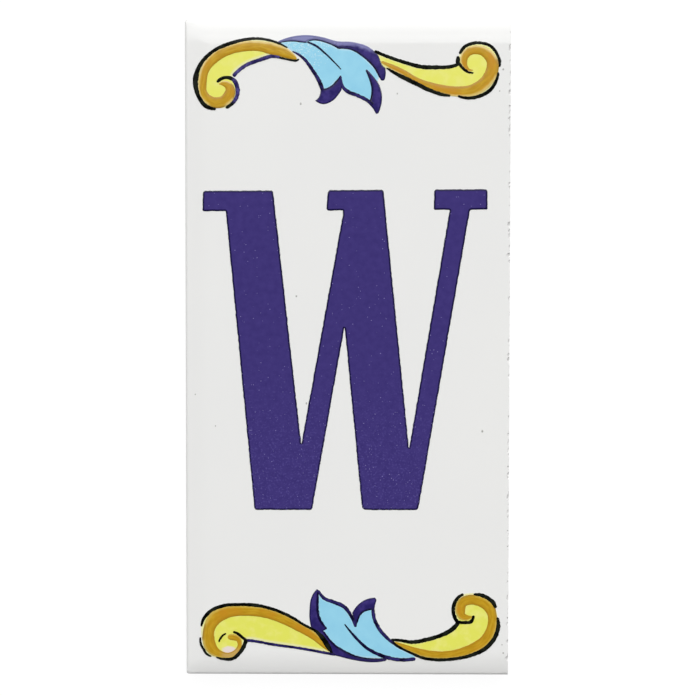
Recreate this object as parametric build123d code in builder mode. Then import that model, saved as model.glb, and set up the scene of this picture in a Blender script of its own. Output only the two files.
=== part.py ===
"""Ceramic letter tile for a house name: half of a pressed square wall tile, glazed and enamelled.

The square tile is dust-pressed with a cushioned face, drafted sides and a waffle of shallow pockets on
the back that keys into the adhesive. It is sawn in half, and the letter and the scroll-and-leaf borders
are fired on to its face as raised enamel. The fired tile is one solid.

Frame: X to the right of the letter, Y to its top, Z out of the glazed face. The origin is the middle of
the back. Millimetres.
"""

import os

from build123d import *

# Square tile as pressed
PRESSED_SIDE = 150.0
BODY_THICKNESS = 7.0
CUSHION_WIDTH = 5.5  # the face starts to fall this far from a moulded edge
CUSHION_DROP = 0.8  # and has fallen this much at the edge
EDGE_RADIUS = 0.8  # rounded arris between cushion and side
CORNER_RADIUS = 0.5  # corners in plan
SIDE_LEAN = 0.4  # sides lean in this much towards the back, to leave the mould
BACK_ARRIS = 0.5  # chamfer round the back

# Waffle of pockets on the back
KEY_COUNT = 9  # pockets along each side of the square tile
KEY_RIM = 6.0  # from the tile's edge to the middle of the first rib
KEY_RIB = 3.0  # rib between two pockets, at the back face
KEY_DEPTH = 0.8
KEY_DRAFT = 30.0  # degrees

# Saw cut through the middle
SAW_KERF = 2.0

# Enamel on the face
ENAMEL_RELIEF = 0.12
LETTER_CAP = 36.28  # top of the letter above the middle of the tile
LETTER_RISE = 0.007  # its top line climbs this much for each millimetre to the right
LETTER_BASE = -36.77
SERIF_DEPTH = 4.3
SERIF_SPUR = 1.3  # short upright under the middle serif
LEFT_NOTCH = 15.2  # feet of the two open counters and top of the closed one, above the letter's base
RIGHT_NOTCH = 14.33
INNER_APEX = 41.84
LETTER_CORNER = 0.5
BORDER_INSET = 12.1  # middle of each border from the tile's nearest end

TILE_WIDTH = (PRESSED_SIDE - SAW_KERF) / 2
PRESSED_CENTRE = (TILE_WIDTH + SAW_KERF) / 2  # middle of the square tile, from the middle of the half
KEY_PITCH = (PRESSED_SIDE - 2 * KEY_RIM) / KEY_COUNT
KEY_POCKET = KEY_PITCH - KEY_RIB
BORDER_Y = PRESSED_SIDE / 2 - BORDER_INSET
SERIF_FOOT = LETTER_CAP - SERIF_DEPTH

# Outline of the letter, clockwise from its top left, each (x, y, rise of the line that the point is on)
LETTER_OUTLINE = [
    (-32.6, LETTER_CAP, LETTER_RISE),
    (-17.0, LETTER_CAP, LETTER_RISE),
    (-10.48, LETTER_BASE + LEFT_NOTCH, 0),
    (-1.05, SERIF_FOOT - SERIF_SPUR, LETTER_RISE),
    (-1.05, SERIF_FOOT, LETTER_RISE),
    (-4.6, SERIF_FOOT, LETTER_RISE),
    (-4.3, LETTER_CAP, LETTER_RISE),
    (8.15, LETTER_CAP, LETTER_RISE),
    (14.15, LETTER_BASE + RIGHT_NOTCH, 0),
    (23.3, SERIF_FOOT, LETTER_RISE),
    (19.8, SERIF_FOOT, LETTER_RISE),
    (19.9, LETTER_CAP, LETTER_RISE),
    (31.55, LETTER_CAP, LETTER_RISE),
    (31.8, SERIF_FOOT, LETTER_RISE),
    (27.95, SERIF_FOOT, LETTER_RISE),
    (16.13, LETTER_BASE, 0),
    (3.53, LETTER_BASE, 0),
    (-0.6, LETTER_BASE + INNER_APEX, 0),
    (-8.1, LETTER_BASE, 0),
    (-21.2, LETTER_BASE, 0),
    (-27.7, SERIF_FOOT, LETTER_RISE),
    (-32.8, SERIF_FOOT, LETTER_RISE),
]

# Drawn lines of the two borders, each (x, y, half width) along its middle, from the border's middle
TOP_LINES = {
    "left scroll, outside": [
        (-13.6, 5.6, 0.16), (-16.0, 6.8, 0.26), (-20.5, 7.7, 0.30), (-26.0, 6.8, 0.42),
        (-30.8, 4.6, 0.42), (-33.4, 1.8, 0.46), (-34.5, -1.5, 0.60), (-33.8, -5.3, 0.46),
        (-31.9, -7.7, 0.47), (-29.8, -8.15, 0.28),
    ],
    "left scroll, curl": [
        (-27.65, -7.9, 0.30), (-26.0, -6.9, 0.40), (-25.0, -5.2, 0.45), (-25.0, -3.2, 0.50),
        (-26.1, -1.35, 0.50), (-27.6, -1.1, 0.37), (-28.7, -1.4, 0.38), (-29.6, -2.2, 0.33),
    ],
    "left scroll, inside": [
        (-25.95, -0.85, 0.42), (-23.35, 1.5, 0.41), (-20.0, 2.85, 0.44), (-16.8, 3.7, 0.38),
        (-14.6, 3.2, 0.22), (-12.8, 2.85, 0.22), (-11.6, 2.75, 0.27), (-10.95, 3.05, 0.18),
    ],
    "leaf, left edge": [
        (-12.5, 4.8, 0.14), (-9.95, 3.25, 0.32), (-8.25, 1.05, 0.38), (-6.7, -1.35, 0.44),
        (-5.8, -3.4, 0.46), (-5.6, -4.1, 0.40),
    ],
    "leaf, vein": [
        (-9.2, 6.95, 0.20), (-7.3, 6.15, 0.28), (-4.9, 4.25, 0.23), (-3.15, 2.55, 0.19),
        (-1.4, 0.7, 0.13),
    ],
    "leaf, lower edge": [
        (-1.45, -0.8, 0.18), (-1.35, -2.3, 0.28), (-0.9, -3.4, 0.38), (0.2, -4.3, 0.43),
        (2.5, -5.2, 0.42), (4.9, -6.5, 0.42), (5.85, -7.3, 0.42),
    ],
    "right scroll, inside": [
        (5.9, 5.05, 0.34), (9.6, 3.45, 0.38), (12.6, 2.45, 0.40), (16.9, 1.35, 0.47),
        (20.3, 1.25, 0.45), (23.6, 1.45, 0.42), (25.3, 2.05, 0.36),
    ],
    "right scroll, knob": [
        (25.0, 1.9, 0.44), (25.0, 2.8, 0.46), (25.15, 3.8, 0.36),
    ],
    "right scroll, curl": [
        (25.2, 2.3, 0.32), (26.0, 1.2, 0.33), (27.0, 0.35, 0.29), (28.6, -0.05, 0.22),
    ],
    "right scroll, top": [
        (25.4, 4.2, 0.30), (26.5, 5.85, 0.38), (28.3, 6.65, 0.38), (30.2, 6.75, 0.34),
        (32.4, 6.05, 0.36), (33.9, 4.2, 0.34), (34.5, 2.4, 0.30), (34.4, 1.3, 0.20),
    ],
    "right scroll, outside": [
        (8.8, 1.1, 0.16), (11.4, -0.4, 0.43), (14.9, -2.1, 0.49), (18.7, -3.95, 0.45),
        (21.5, -4.9, 0.40), (23.4, -5.15, 0.24),
    ],
    "right scroll, heel": [
        (25.0, -5.2, 0.24), (27.2, -5.7, 0.36), (29.8, -5.3, 0.40), (32.1, -4.1, 0.42),
        (33.6, -2.05, 0.38), (34.2, 0.2, 0.22),
    ],
}
BOTTOM_LINES = {
    "left scroll, outside": [
        (-3.8, -6.7, 0.20), (-5.9, -3.4, 0.32), (-7.2, -1.95, 0.30), (-9.5, -0.6, 0.29),
        (-12.9, 1.45, 0.36), (-16.8, 3.15, 0.36), (-20.6, 4.05, 0.41), (-25.0, 4.25, 0.38),
        (-28.3, 4.0, 0.41), (-31.5, 2.6, 0.39), (-33.05, 0.65, 0.36), (-33.45, -0.9, 0.20),
    ],
    "left scroll, heel": [
        (-33.7, -3.3, 0.16), (-33.65, -4.6, 0.27), (-33.0, -6.05, 0.28), (-32.0, -7.4, 0.27),
        (-31.1, -7.75, 0.16),
    ],
    "left scroll, curl": [
        (-30.1, -7.95, 0.17), (-28.2, -8.4, 0.33), (-26.4, -8.3, 0.41), (-24.8, -7.0, 0.50),
        (-23.65, -5.2, 0.55), (-23.1, -3.8, 0.42),
    ],
    "left scroll, eye": [
        (-23.0, -4.2, 0.38), (-24.5, -2.95, 0.32), (-25.3, -2.35, 0.32), (-26.2, -2.05, 0.22),
    ],
    "left scroll, tick": [
        (-27.7, -2.4, 0.19), (-28.8, -3.2, 0.24), (-29.4, -4.5, 0.20),
    ],
    "left scroll, inside": [
        (-23.1, -4.0, 0.40), (-20.6, -4.3, 0.31), (-16.8, -5.05, 0.31), (-12.0, -5.7, 0.30),
        (-7.2, -6.5, 0.31), (-2.6, -7.4, 0.30),
    ],
    "leaf, upper edge": [
        (-6.6, 7.6, 0.26), (-5.35, 5.85, 0.37), (-2.95, 4.85, 0.44), (-0.65, 3.8, 0.44),
        (0.7, 2.15, 0.40), (1.55, 0.4, 0.32), (1.95, -0.9, 0.22),
    ],
    "leaf, right edge": [
        (6.0, 3.4, 0.38), (6.1, 1.9, 0.41), (7.1, -0.8, 0.42), (9.1, -3.25, 0.40),
        (10.9, -4.8, 0.30),
    ],
    "leaf, vein": [
        (-0.55, -0.2, 0.14), (0.7, -1.8, 0.24), (2.7, -4.05, 0.32), (4.6, -5.75, 0.36),
        (6.7, -6.95, 0.39), (9.2, -7.9, 0.45), (12.1, -8.45, 0.42), (14.3, -8.4, 0.42),
        (15.8, -8.2, 0.42),
    ],
    "right scroll, inside": [
        (10.1, -3.8, 0.28), (12.2, -3.95, 0.34), (14.9, -4.35, 0.44), (18.3, -3.75, 0.48),
        (21.5, -2.8, 0.47), (24.35, -1.2, 0.54), (25.6, 0.3, 0.48),
    ],
    "right scroll, curl": [
        (25.7, 0.0, 0.42), (24.5, 2.1, 0.43), (24.5, 4.2, 0.41), (25.5, 6.0, 0.38),
        (26.8, 6.8, 0.28),
    ],
    "right scroll, eye": [
        (25.4, 0.4, 0.36), (27.2, 0.2, 0.38), (28.4, 0.4, 0.40), (28.95, 1.2, 0.37),
        (29.0, 1.9, 0.28),
    ],
    "right scroll, top": [
        (29.0, 6.75, 0.23), (31.0, 6.5, 0.45), (32.85, 5.5, 0.46), (33.85, 4.4, 0.48),
        (34.05, 3.5, 0.34),
    ],
    "right scroll, outside": [
        (34.5, 1.5, 0.23), (34.75, -0.5, 0.47), (33.9, -3.3, 0.48), (31.85, -5.7, 0.50),
        (28.4, -7.4, 0.42), (24.0, -8.3, 0.37), (20.0, -8.4, 0.38), (17.1, -7.9, 0.34),
        (15.4, -7.15, 0.32), (14.0, -6.5, 0.26), (11.45, -5.15, 0.32), (10.2, -4.1, 0.30),
    ],
}

# Dark folds of the leaves, each a closed chain of curves from corner to corner
TOP_FOLDS = {
    "rim": [
        [(-15.7, 7.1), (-13.3, 8.0), (-9.2, 8.5), (-5.5, 8.0), (-2.5, 7.15), (1.4, 6.9), (4.9, 5.75),
         (7.1, 3.8)],
        [(7.1, 3.8), (7.5, 2.7), (7.85, 1.85), (8.6, 1.15)],
        [(8.6, 1.15), (8.7, 0.2), (8.5, -1.4)],
        [(8.5, -1.4), (8.2, -1.75), (7.75, -1.75), (7.4, -1.4)],
        [(7.4, -1.4), (6.3, 0.9), (3.7, 3.5), (1.0, 5.15), (-1.9, 5.45)],
        [(-1.9, 5.45), (-4.8, 6.9), (-7.6, 7.45), (-8.9, 7.2)],
        [(-8.9, 7.2), (-9.4, 6.9), (-10.6, 7.0), (-12.6, 7.2), (-15.6, 6.6)],
        [(-15.6, 6.6), (-15.7, 7.1)],
    ],
    "left lobe": [
        [(-6.1, -3.3), (-6.15, -4.4), (-6.5, -5.5), (-7.35, -6.3)],
        [(-7.35, -6.3), (-5.6, -7.1), (-3.3, -6.3), (-1.9, -4.75), (-1.35, -3.9)],
        [(-1.35, -3.9), (-1.2, -2.2), (-1.4, -0.6)],
        [(-1.4, -0.6), (-1.6, -0.6), (-2.3, -1.7), (-3.5, -3.0), (-5.2, -3.75)],
        [(-5.2, -3.75), (-6.1, -3.3)],
    ],
    "right lobe": [
        [(4.45, 0.75), (5.9, -0.8), (7.2, -2.7), (7.85, -5.2), (7.5, -7.9), (7.05, -9.1)],
        [(7.05, -9.1), (6.75, -9.3), (5.8, -8.1), (4.9, -7.1)],
        [(4.9, -7.1), (5.5, -5.3), (5.6, -3.4), (5.1, -1.6), (4.1, 0.4)],
        [(4.1, 0.4), (4.15, 0.7), (4.45, 0.75)],
    ],
}
BOTTOM_FOLDS = {
    "horn and keel": [
        [(-6.9, 7.85), (-7.65, 7.0), (-8.25, 5.7), (-8.6, 3.0), (-8.6, 1.0), (-8.1, -1.4)],
        [(-8.1, -1.4), (-6.3, -2.9), (-3.7, -6.5)],
        [(-3.7, -6.5), (-3.0, -7.35), (-1.7, -7.75), (3.2, -8.85), (6.0, -9.1), (8.7, -8.8)],
        [(8.7, -8.8), (9.15, -8.5), (8.9, -8.15)],
        [(8.9, -8.15), (6.0, -8.3), (3.3, -8.05), (-0.3, -6.7), (-3.4, -4.55), (-5.4, -1.8)],
        [(-5.4, -1.8), (-4.5, -1.35)],
        [(-4.5, -1.35), (-6.3, 1.0), (-6.75, 3.6), (-6.6, 6.4)],
        [(-6.6, 6.4), (-6.25, 7.3), (-6.9, 7.85)],
    ],
    "right horn": [
        [(1.2, 2.35), (2.6, 4.35), (4.6, 5.6), (6.4, 5.95)],
        [(6.4, 5.95), (6.75, 5.5), (6.5, 4.4), (6.3, 3.2)],
        [(6.3, 3.2), (5.3, 3.2), (3.3, 2.3), (2.3, 0.2), (1.9, -1.0)],
        [(1.9, -1.0), (1.6, 0.6), (1.2, 2.35)],
    ],
}


def brush_line(points):
    """Adds one drawn line to the open sketch: a band as wide as the brush, with round ends."""
    middle = [Vector(x, y) for x, y, half_width in points]
    half_widths = [half_width for x, y, half_width in points]
    last = len(points) - 1
    left = []
    right = []
    for i in range(len(points)):
        along = (middle[min(i + 1, last)] - middle[max(i - 1, 0)]).normalized()
        across = Vector(-along.Y, along.X) * half_widths[i]
        left.append(middle[i] + across)
        right.append(middle[i] - across)
    start_tip = middle[0] + (middle[0] - middle[1]).normalized() * half_widths[0]
    end_tip = middle[last] + (middle[last] - middle[last - 1]).normalized() * half_widths[last]
    with BuildLine() as outline:
        Spline(*left)
        ThreePointArc(left[last], end_tip, right[last])
        Spline(*reversed(right))
        ThreePointArc(right[0], start_tip, left[0])
    make_face(outline.edges())


def leaf_fold(curves):
    """Adds one dark fold to the open sketch, closed by curves that meet at its corners."""
    with BuildLine() as outline:
        for points in curves:
            if len(points) == 2:
                Line(*points)
            else:
                Spline(*points)
    make_face(outline.edges())


def cushion_section():
    """Adds the section across the square tile to the open sketch: leaning sides and a cushioned face."""
    side = PRESSED_SIDE / 2
    back = side - SIDE_LEAN
    edge_height = BODY_THICKNESS - CUSHION_DROP
    flat_end = (side - CUSHION_WIDTH, BODY_THICKNESS)
    with BuildLine() as outline:
        Polyline((0, 0), (back - BACK_ARRIS, 0), (back, BACK_ARRIS), (side, edge_height))
        TangentArc(flat_end, (side, edge_height), tangent=(1, 0))
        Line(flat_end, (0, BODY_THICKNESS))
        mirror(about=Plane.YZ)
    make_face(outline.edges())


# Square tile as it leaves the press, then the half of it that the saw leaves
pressed_middle = (PRESSED_CENTRE, 0, 0)
pressed_back = Plane.XY.shift_origin(pressed_middle)
with BuildPart() as blank:
    with BuildSketch(pressed_back):
        RectangleRounded(PRESSED_SIDE, PRESSED_SIDE, CORNER_RADIUS)
    extrude(amount=BODY_THICKNESS)
    for section_plane in (Plane.XZ.shift_origin(pressed_middle), Plane.YZ.offset(PRESSED_CENTRE)):
        with BuildSketch(section_plane) as section:
            cushion_section()
            by_side = section.vertices().group_by(Axis.X)
            fillet(by_side[0] + by_side[-1], EDGE_RADIUS)
        extrude(amount=PRESSED_SIDE / 2, both=True, mode=Mode.INTERSECT)
    split(bisect_by=Plane.YZ.offset(TILE_WIDTH / 2), keep=Keep.BOTTOM)

# Letter with softened corners and open notches
with BuildSketch() as letter:
    with BuildLine():
        Polyline(*[(x, y + rise * x) for x, y, rise in LETTER_OUTLINE], close=True)
    make_face()
    corners = letter.vertices()
    top_corners = corners.filter_by(lambda corner: corner.Y > LETTER_CAP - SERIF_DEPTH / 2)
    fillet(top_corners + corners.group_by(Axis.Y)[0], LETTER_CORNER)

# Line work of the borders
with BuildSketch() as top_border:
    for line_points in TOP_LINES.values():
        brush_line(line_points)
    for fold_curves in TOP_FOLDS.values():
        leaf_fold(fold_curves)
with BuildSketch() as bottom_border:
    for line_points in BOTTOM_LINES.values():
        brush_line(line_points)
    for fold_curves in BOTTOM_FOLDS.values():
        leaf_fold(fold_curves)

# Enamel: letter and line work, proud of the glaze by the same thickness on the flat and on the cushion
with BuildPart() as enamel:
    with BuildSketch(Plane.XY.offset(BODY_THICKNESS / 2)):
        add(letter.sketch)
        with Locations((0, BORDER_Y)):
            add(top_border.sketch)
        with Locations((0, -BORDER_Y)):
            add(bottom_border.sketch)
    extrude(amount=BODY_THICKNESS)
    add(blank.part.moved(Location((0, 0, ENAMEL_RELIEF))), mode=Mode.INTERSECT)

# Fired tile: body, glaze and enamel fused into one, with the waffle that was pressed into the square's back
with BuildPart() as letter_tile:
    add(blank.part)
    add(enamel.part)
    with BuildSketch(pressed_back):
        with GridLocations(KEY_PITCH, KEY_PITCH, KEY_COUNT, KEY_COUNT):
            Rectangle(KEY_POCKET, KEY_POCKET)
    extrude(amount=KEY_DEPTH, taper=KEY_DRAFT, mode=Mode.SUBTRACT)

os.makedirs("parts", exist_ok=True)
letter_tile.part.label = "letter_tile"
export_step(letter_tile.part, "parts/letter_tile.step")
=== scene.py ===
import math

import bmesh
import bpy
import numpy as np
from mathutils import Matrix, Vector, noise
from mathutils.bvhtree import BVHTree
from mathutils.geometry import delaunay_2d_cdt


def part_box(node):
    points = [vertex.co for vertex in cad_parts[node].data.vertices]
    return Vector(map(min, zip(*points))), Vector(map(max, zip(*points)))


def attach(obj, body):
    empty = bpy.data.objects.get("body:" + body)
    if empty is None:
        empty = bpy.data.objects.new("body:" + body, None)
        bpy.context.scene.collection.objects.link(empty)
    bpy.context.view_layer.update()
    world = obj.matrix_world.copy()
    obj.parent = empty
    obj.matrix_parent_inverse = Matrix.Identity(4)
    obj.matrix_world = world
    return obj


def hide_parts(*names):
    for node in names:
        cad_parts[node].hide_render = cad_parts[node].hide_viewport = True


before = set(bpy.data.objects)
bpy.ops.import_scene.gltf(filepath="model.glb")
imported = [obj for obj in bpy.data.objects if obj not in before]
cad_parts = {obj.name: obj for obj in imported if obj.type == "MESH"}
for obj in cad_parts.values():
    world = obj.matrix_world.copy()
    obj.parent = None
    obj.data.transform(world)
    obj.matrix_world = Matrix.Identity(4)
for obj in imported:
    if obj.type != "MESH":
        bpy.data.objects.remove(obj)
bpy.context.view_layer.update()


# Tile body
# Half of a dust-pressed earthenware tile. White tin glaze covers its cushioned face and runs part of the
# way down the moulded sides; the back and the sawn side are bare biscuit.
MM = 0.001
ENAMEL_RELIEF = 0.12 * MM  # the letter and the line work stand this far above the glaze
CUSHION_WIDTH = 5.46 * MM
CUSHION_RADIUS = 19.3 * MM
EDGE_RADIUS = 0.8 * MM
CORNER_RADIUS = 0.5 * MM
CORNER_SOFTENING = 0.9  # corners in plan open up towards the face by this share of the inset
SIDE_LEAN = 0.36 * MM
BACK_ARRIS = 0.5 * MM
SAWN_STRIP = 2.5 * MM  # band of the face beside the saw cut, divided finely for its chips
SAWN_STEPS = 60
EDGE_STEPS = 8
CUSHION_STEPS = 12
CORNER_STEPS = 8
SIDE_POINTS = 26  # along each end of the tile, and along each half of its long side
FLAT_MARGIN = 0.5 * MM  # the last loop of points lies this far inside the cushion
SMOOTHEST_EDGE = math.radians(25)  # edges sharper than this aren't shaded smooth

tile_low, tile_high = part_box("letter_tile")
saw_cut = tile_high.x
face = tile_high.z - ENAMEL_RELIEF


def cushion_drop(inset):
    """How far the face has fallen at a distance from one moulded edge."""
    run = max(0.0, CUSHION_WIDTH - inset)
    return CUSHION_RADIUS - math.sqrt(CUSHION_RADIUS**2 - run**2)


def corner_drop(x, y):
    """How far the face has fallen at a place; in the corners two cushions run into each other."""
    from_end = min(y - tile_low.y, tile_high.y - y)
    return math.hypot(cushion_drop(x - tile_low.x), cushion_drop(from_end))


def moulded_profile():
    """(inset from the tile's widest line, height) from the back, over the rounded edge, to the flat."""
    reach = CUSHION_RADIUS - EDGE_RADIUS
    run = CUSHION_WIDTH - EDGE_RADIUS
    rise = math.sqrt(reach**2 - run**2)
    edge_centre = face - CUSHION_RADIUS + rise
    points = [(SIDE_LEAN + BACK_ARRIS, 0.0), (SIDE_LEAN, BACK_ARRIS)]
    for step in range(EDGE_STEPS + 1):
        angle = math.atan2(rise, run) * step / EDGE_STEPS
        points.append((EDGE_RADIUS * (1 - math.cos(angle)), edge_centre + EDGE_RADIUS * math.sin(angle)))
    start = points[-1][0]
    for step in range(1, CUSHION_STEPS + 1):
        inset = start + (CUSHION_WIDTH - start) * step / CUSHION_STEPS
        points.append((inset, face - cushion_drop(inset)))
    points.append((CUSHION_WIDTH + FLAT_MARGIN, face))
    return points


def closing_in(first, last, count):
    """Numbers from first to last, closer and closer together."""
    return [last + (first - last) * (1 - step / (count - 1)) ** 2 for step in range(count)]


def corner_arc(x, y, radius, heading):
    """Points round a corner in plan, clockwise for a quarter turn after a heading in degrees."""
    angles = [math.radians(heading - 90 * step / CORNER_STEPS) for step in range(1, CORNER_STEPS + 1)]
    return [(x + radius * math.cos(angle), y + radius * math.sin(angle)) for angle in angles]


def moulded_loop(inset):
    """Points round the three moulded sides, from the foot of the saw cut to its head."""
    corner = CORNER_RADIUS + CORNER_SOFTENING * inset
    west = tile_low.x + inset + corner
    south = tile_low.y + inset + corner
    north = tile_high.y - inset - corner
    along_end = closing_in(saw_cut - SAWN_STRIP, west, SIDE_POINTS)
    up_side = closing_in(0.0, north, SIDE_POINTS)
    points = [(saw_cut, south - corner)]
    points += [(x, south - corner) for x in along_end]
    points += corner_arc(west, south, corner, 270)
    points += [(west - corner, -y) for y in up_side[-2:0:-1]]
    points += [(west - corner, y) for y in up_side]
    points += corner_arc(west, north, corner, 180)
    points += [(x, north + corner) for x in along_end[-2::-1]]
    points.append((saw_cut, north + corner))
    return points


def line_between(shape, first, last, count):
    """New points between two corners of a mesh, both ends included."""
    inner = [shape.verts.new(first.co.lerp(last.co, step / count)) for step in range(1, count)]
    return [first, *inner, last]


profile = moulded_profile()
crest = 2 + EDGE_STEPS  # where the rounded edge meets the cushion
crest_inset, crest_height = profile[crest]
corner_falls = [crest_height - face + corner_drop(x, y) for x, y in moulded_loop(crest_inset)]
shape = bmesh.new()
loops = []
for i, (inset, height) in enumerate(profile):
    share = max(0.0, height - BACK_ARRIS) / (crest_height - BACK_ARRIS)
    loop = []
    for (x, y), fall in zip(moulded_loop(inset), corner_falls):
        z = height - share * fall if i < crest else face - corner_drop(x, y)
        loop.append(shape.verts.new((x, y, z)))
    loops.append(loop)
for lower, upper in zip(loops, loops[1:]):
    for a, b, c, d in zip(lower, lower[1:], upper[1:], upper):
        shape.faces.new((a, b, c, d))
rim = loops[-1]
sawn_line = line_between(shape, rim[0], rim[-1], SAWN_STEPS)
strip_line = line_between(shape, rim[1], rim[-2], SAWN_STEPS)
for a, b, c, d in zip(sawn_line, sawn_line[1:], strip_line[1:], strip_line):
    shape.faces.new((a, b, c, d))
shape.faces.new(rim[1:-2] + strip_line[:0:-1])
bare_faces = [
    shape.faces.new([loop[0] for loop in loops] + sawn_line[1:-1] + [loop[-1] for loop in loops[::-1]]),
    shape.faces.new(loops[0]),
]
for bare_face in bare_faces:
    bare_face.material_index = 1
bmesh.ops.recalc_face_normals(shape, faces=shape.faces)
glaze_surface = BVHTree.FromBMesh(shape)
tile_mesh = bpy.data.meshes.new("tile_body")
shape.to_mesh(tile_mesh)
shape.free()
tile_body = bpy.data.objects.new("tile_body", tile_mesh)
bpy.context.scene.collection.objects.link(tile_body)


def plug(tree, sockets, inputs):
    """Fills sockets, each with a value or with a link from another socket."""
    for socket, value in inputs.items():
        if isinstance(value, bpy.types.NodeSocket):
            tree.links.new(value, sockets[socket])
        else:
            sockets[socket].default_value = value


def put(tree, kind, inputs, **settings):
    """Adds a node with its settings and inputs."""
    node = tree.nodes.new(kind)
    for setting, value in settings.items():
        setattr(node, setting, value)
    plug(tree, node.inputs, inputs)
    return node


def sum_of(tree, operation, *values):
    """The result of one Math node."""
    return put(tree, "ShaderNodeMath", dict(enumerate(values)), operation=operation).outputs[0]


def vector_of(tree, operation, *values):
    """The vector that comes out of one Vector Math node."""
    return put(tree, "ShaderNodeVectorMath", dict(enumerate(values)), operation=operation).outputs["Vector"]


def distance_of(tree, place, spot):
    """How far a place lies from a fixed spot."""
    inputs = {0: place, 1: spot}
    return put(tree, "ShaderNodeVectorMath", inputs, operation="DISTANCE").outputs["Value"]


def axis_of(tree, vector, axis):
    """One coordinate of a vector."""
    return put(tree, "ShaderNodeSeparateXYZ", {0: vector}).outputs[axis]


def paint(red, green, blue):
    """A colour as seen on the tile, 0 to 255, as the shaders take it."""
    shares = [part / 255 for part in (red, green, blue)]
    return (*[s / 12.92 if s < 0.04045 else ((s + 0.055) / 1.055) ** 2.4 for s in shares], 1.0)


def start_finish(name):
    """A new material; returns it with its node tree, its shader's inputs and its Object coordinates."""
    material = bpy.data.materials.new(name)
    material.use_nodes = True
    tree = material.node_tree
    place = tree.nodes.new("ShaderNodeTexCoord").outputs["Object"]
    return material, tree, tree.nodes["Principled BSDF"].inputs, place


def cloud(tree, place, size, detail=2.0):
    """Soft noise whose patches are about this large, from 0 to 1."""
    inputs = {"Vector": place, "Scale": 1 / size, "Detail": detail}
    return put(tree, "ShaderNodeTexNoise", inputs).outputs["Fac"]


def fade(tree, value, start, end):
    """0 up to start, 1 from end on, smooth between."""
    inputs = {"Value": value, "From Min": start, "From Max": end}
    return put(tree, "ShaderNodeMapRange", inputs, interpolation_type="SMOOTHSTEP").outputs["Result"]


def between(tree, share, first, last):
    """A number that goes from first to last by a share."""
    inputs = {"Value": share, "To Min": first, "To Max": last}
    return put(tree, "ShaderNodeMapRange", inputs).outputs["Result"]


def tint(tree, share, first, second):
    """The first colour turning into the second by a share."""
    node = put(tree, "ShaderNodeMix", {}, data_type="RGBA")
    by_identifier = {socket.identifier: socket for socket in node.inputs}
    plug(tree, by_identifier, {"Factor_Float": share, "A_Color": first, "B_Color": second})
    return next(socket for socket in node.outputs if socket.identifier == "Result_Color")


def roughen(tree, shader, height, strength, depth):
    """Bump on a shader."""
    bump = put(tree, "ShaderNodeBump", {"Height": height, "Strength": strength, "Distance": depth})
    plug(tree, shader, {"Normal": bump.outputs["Normal"]})


def glazed_skin():
    """White tin glaze with a faint orange peel, ending in a wavy line low on the moulded sides."""
    material, tree, shader, place = start_finish("white tin glaze")
    wavy = sum_of(tree, "MULTIPLY", cloud(tree, place, 6 * MM), 1.8 * MM)
    above_line = sum_of(tree, "SUBTRACT", axis_of(tree, place, "Z"), wavy)
    glazed = fade(tree, above_line, 0.6 * MM, 0.9 * MM)
    white = tint(tree, cloud(tree, place, 22 * MM), paint(233, 233, 232), paint(236, 236, 234))
    biscuit = tint(tree, cloud(tree, place, 2 * MM), paint(222, 217, 208), paint(231, 227, 219))
    skin = tint(tree, glazed, biscuit, white)
    plug(tree, shader, {"Base Color": skin, "Roughness": between(tree, glazed, 0.85, 0.07), "IOR": 1.5})
    peel = sum_of(tree, "MULTIPLY", cloud(tree, place, 1.6 * MM, 1.0), 0.25)
    ripple = sum_of(tree, "ADD", peel, cloud(tree, place, 9 * MM, 1.0))
    roughen(tree, shader, ripple, 0.5, 0.012 * MM)
    return material


def bare_biscuit():
    """Fired white clay: mottled and gritty, with saw marks and the glaze's thickness on the sawn side."""
    material, tree, shader, place = start_finish("bare biscuit")
    axes = put(tree, "ShaderNodeSeparateXYZ", {0: place})
    sawn = fade(tree, axes.outputs["X"], saw_cut - 0.03 * MM, saw_cut - 0.01 * MM)
    edge = sum_of(tree, "MULTIPLY_ADD", cloud(tree, place, 1.5 * MM), 0.15 * MM, axes.outputs["Z"])
    top_skin = fade(tree, edge, face - 0.28 * MM, face - 0.22 * MM)
    glaze_line = sum_of(tree, "MULTIPLY", sawn, top_skin)
    mottle = tint(tree, cloud(tree, place, 2.5 * MM, 5.0), paint(224, 219, 211), paint(238, 235, 229))
    clay = tint(tree, glaze_line, mottle, paint(238, 238, 236))
    plug(tree, shader, {"Base Color": clay, "Roughness": between(tree, glaze_line, 0.9, 0.25)})
    slanted = put(tree, "ShaderNodeMapping", {"Vector": place, "Rotation": (math.radians(12), 0, 0)})
    teeth = {"Vector": slanted.outputs[0], "Scale": 1 / (2.2 * MM), "Distortion": 1.5, "Detail": 3.0}
    saw_marks = put(tree, "ShaderNodeTexWave", teeth, bands_direction="Y").outputs["Fac"]
    marks = sum_of(tree, "MULTIPLY", saw_marks, sum_of(tree, "MULTIPLY", sawn, 0.6))
    grit = sum_of(tree, "ADD", cloud(tree, place, 0.5 * MM, 4.0), marks)
    roughen(tree, shader, grit, 0.6, 0.05 * MM)
    return material


def broken_glaze_and_shade():
    """The rough break that a chip leaves in the glaze and the clay under it: white, with grey patches that
    are painted shade.
    """
    material, tree, shader, place = start_finish("broken glaze and painted shade")
    # Painted shade: grey patches mixed at random into the white stand for the shade in the chips.
    grey = tint(tree, cloud(tree, place, 0.4 * MM, 3.0), paint(190, 191, 191), paint(242, 241, 238))
    plug(tree, shader, {"Base Color": grey, "Roughness": 0.7})
    roughen(tree, shader, cloud(tree, place, 0.2 * MM, 3.0), 0.5, 0.03 * MM)
    return material


white_glaze = glazed_skin()
biscuit = bare_biscuit()
tile_mesh.materials.append(white_glaze)
tile_mesh.materials.append(biscuit)


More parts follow.
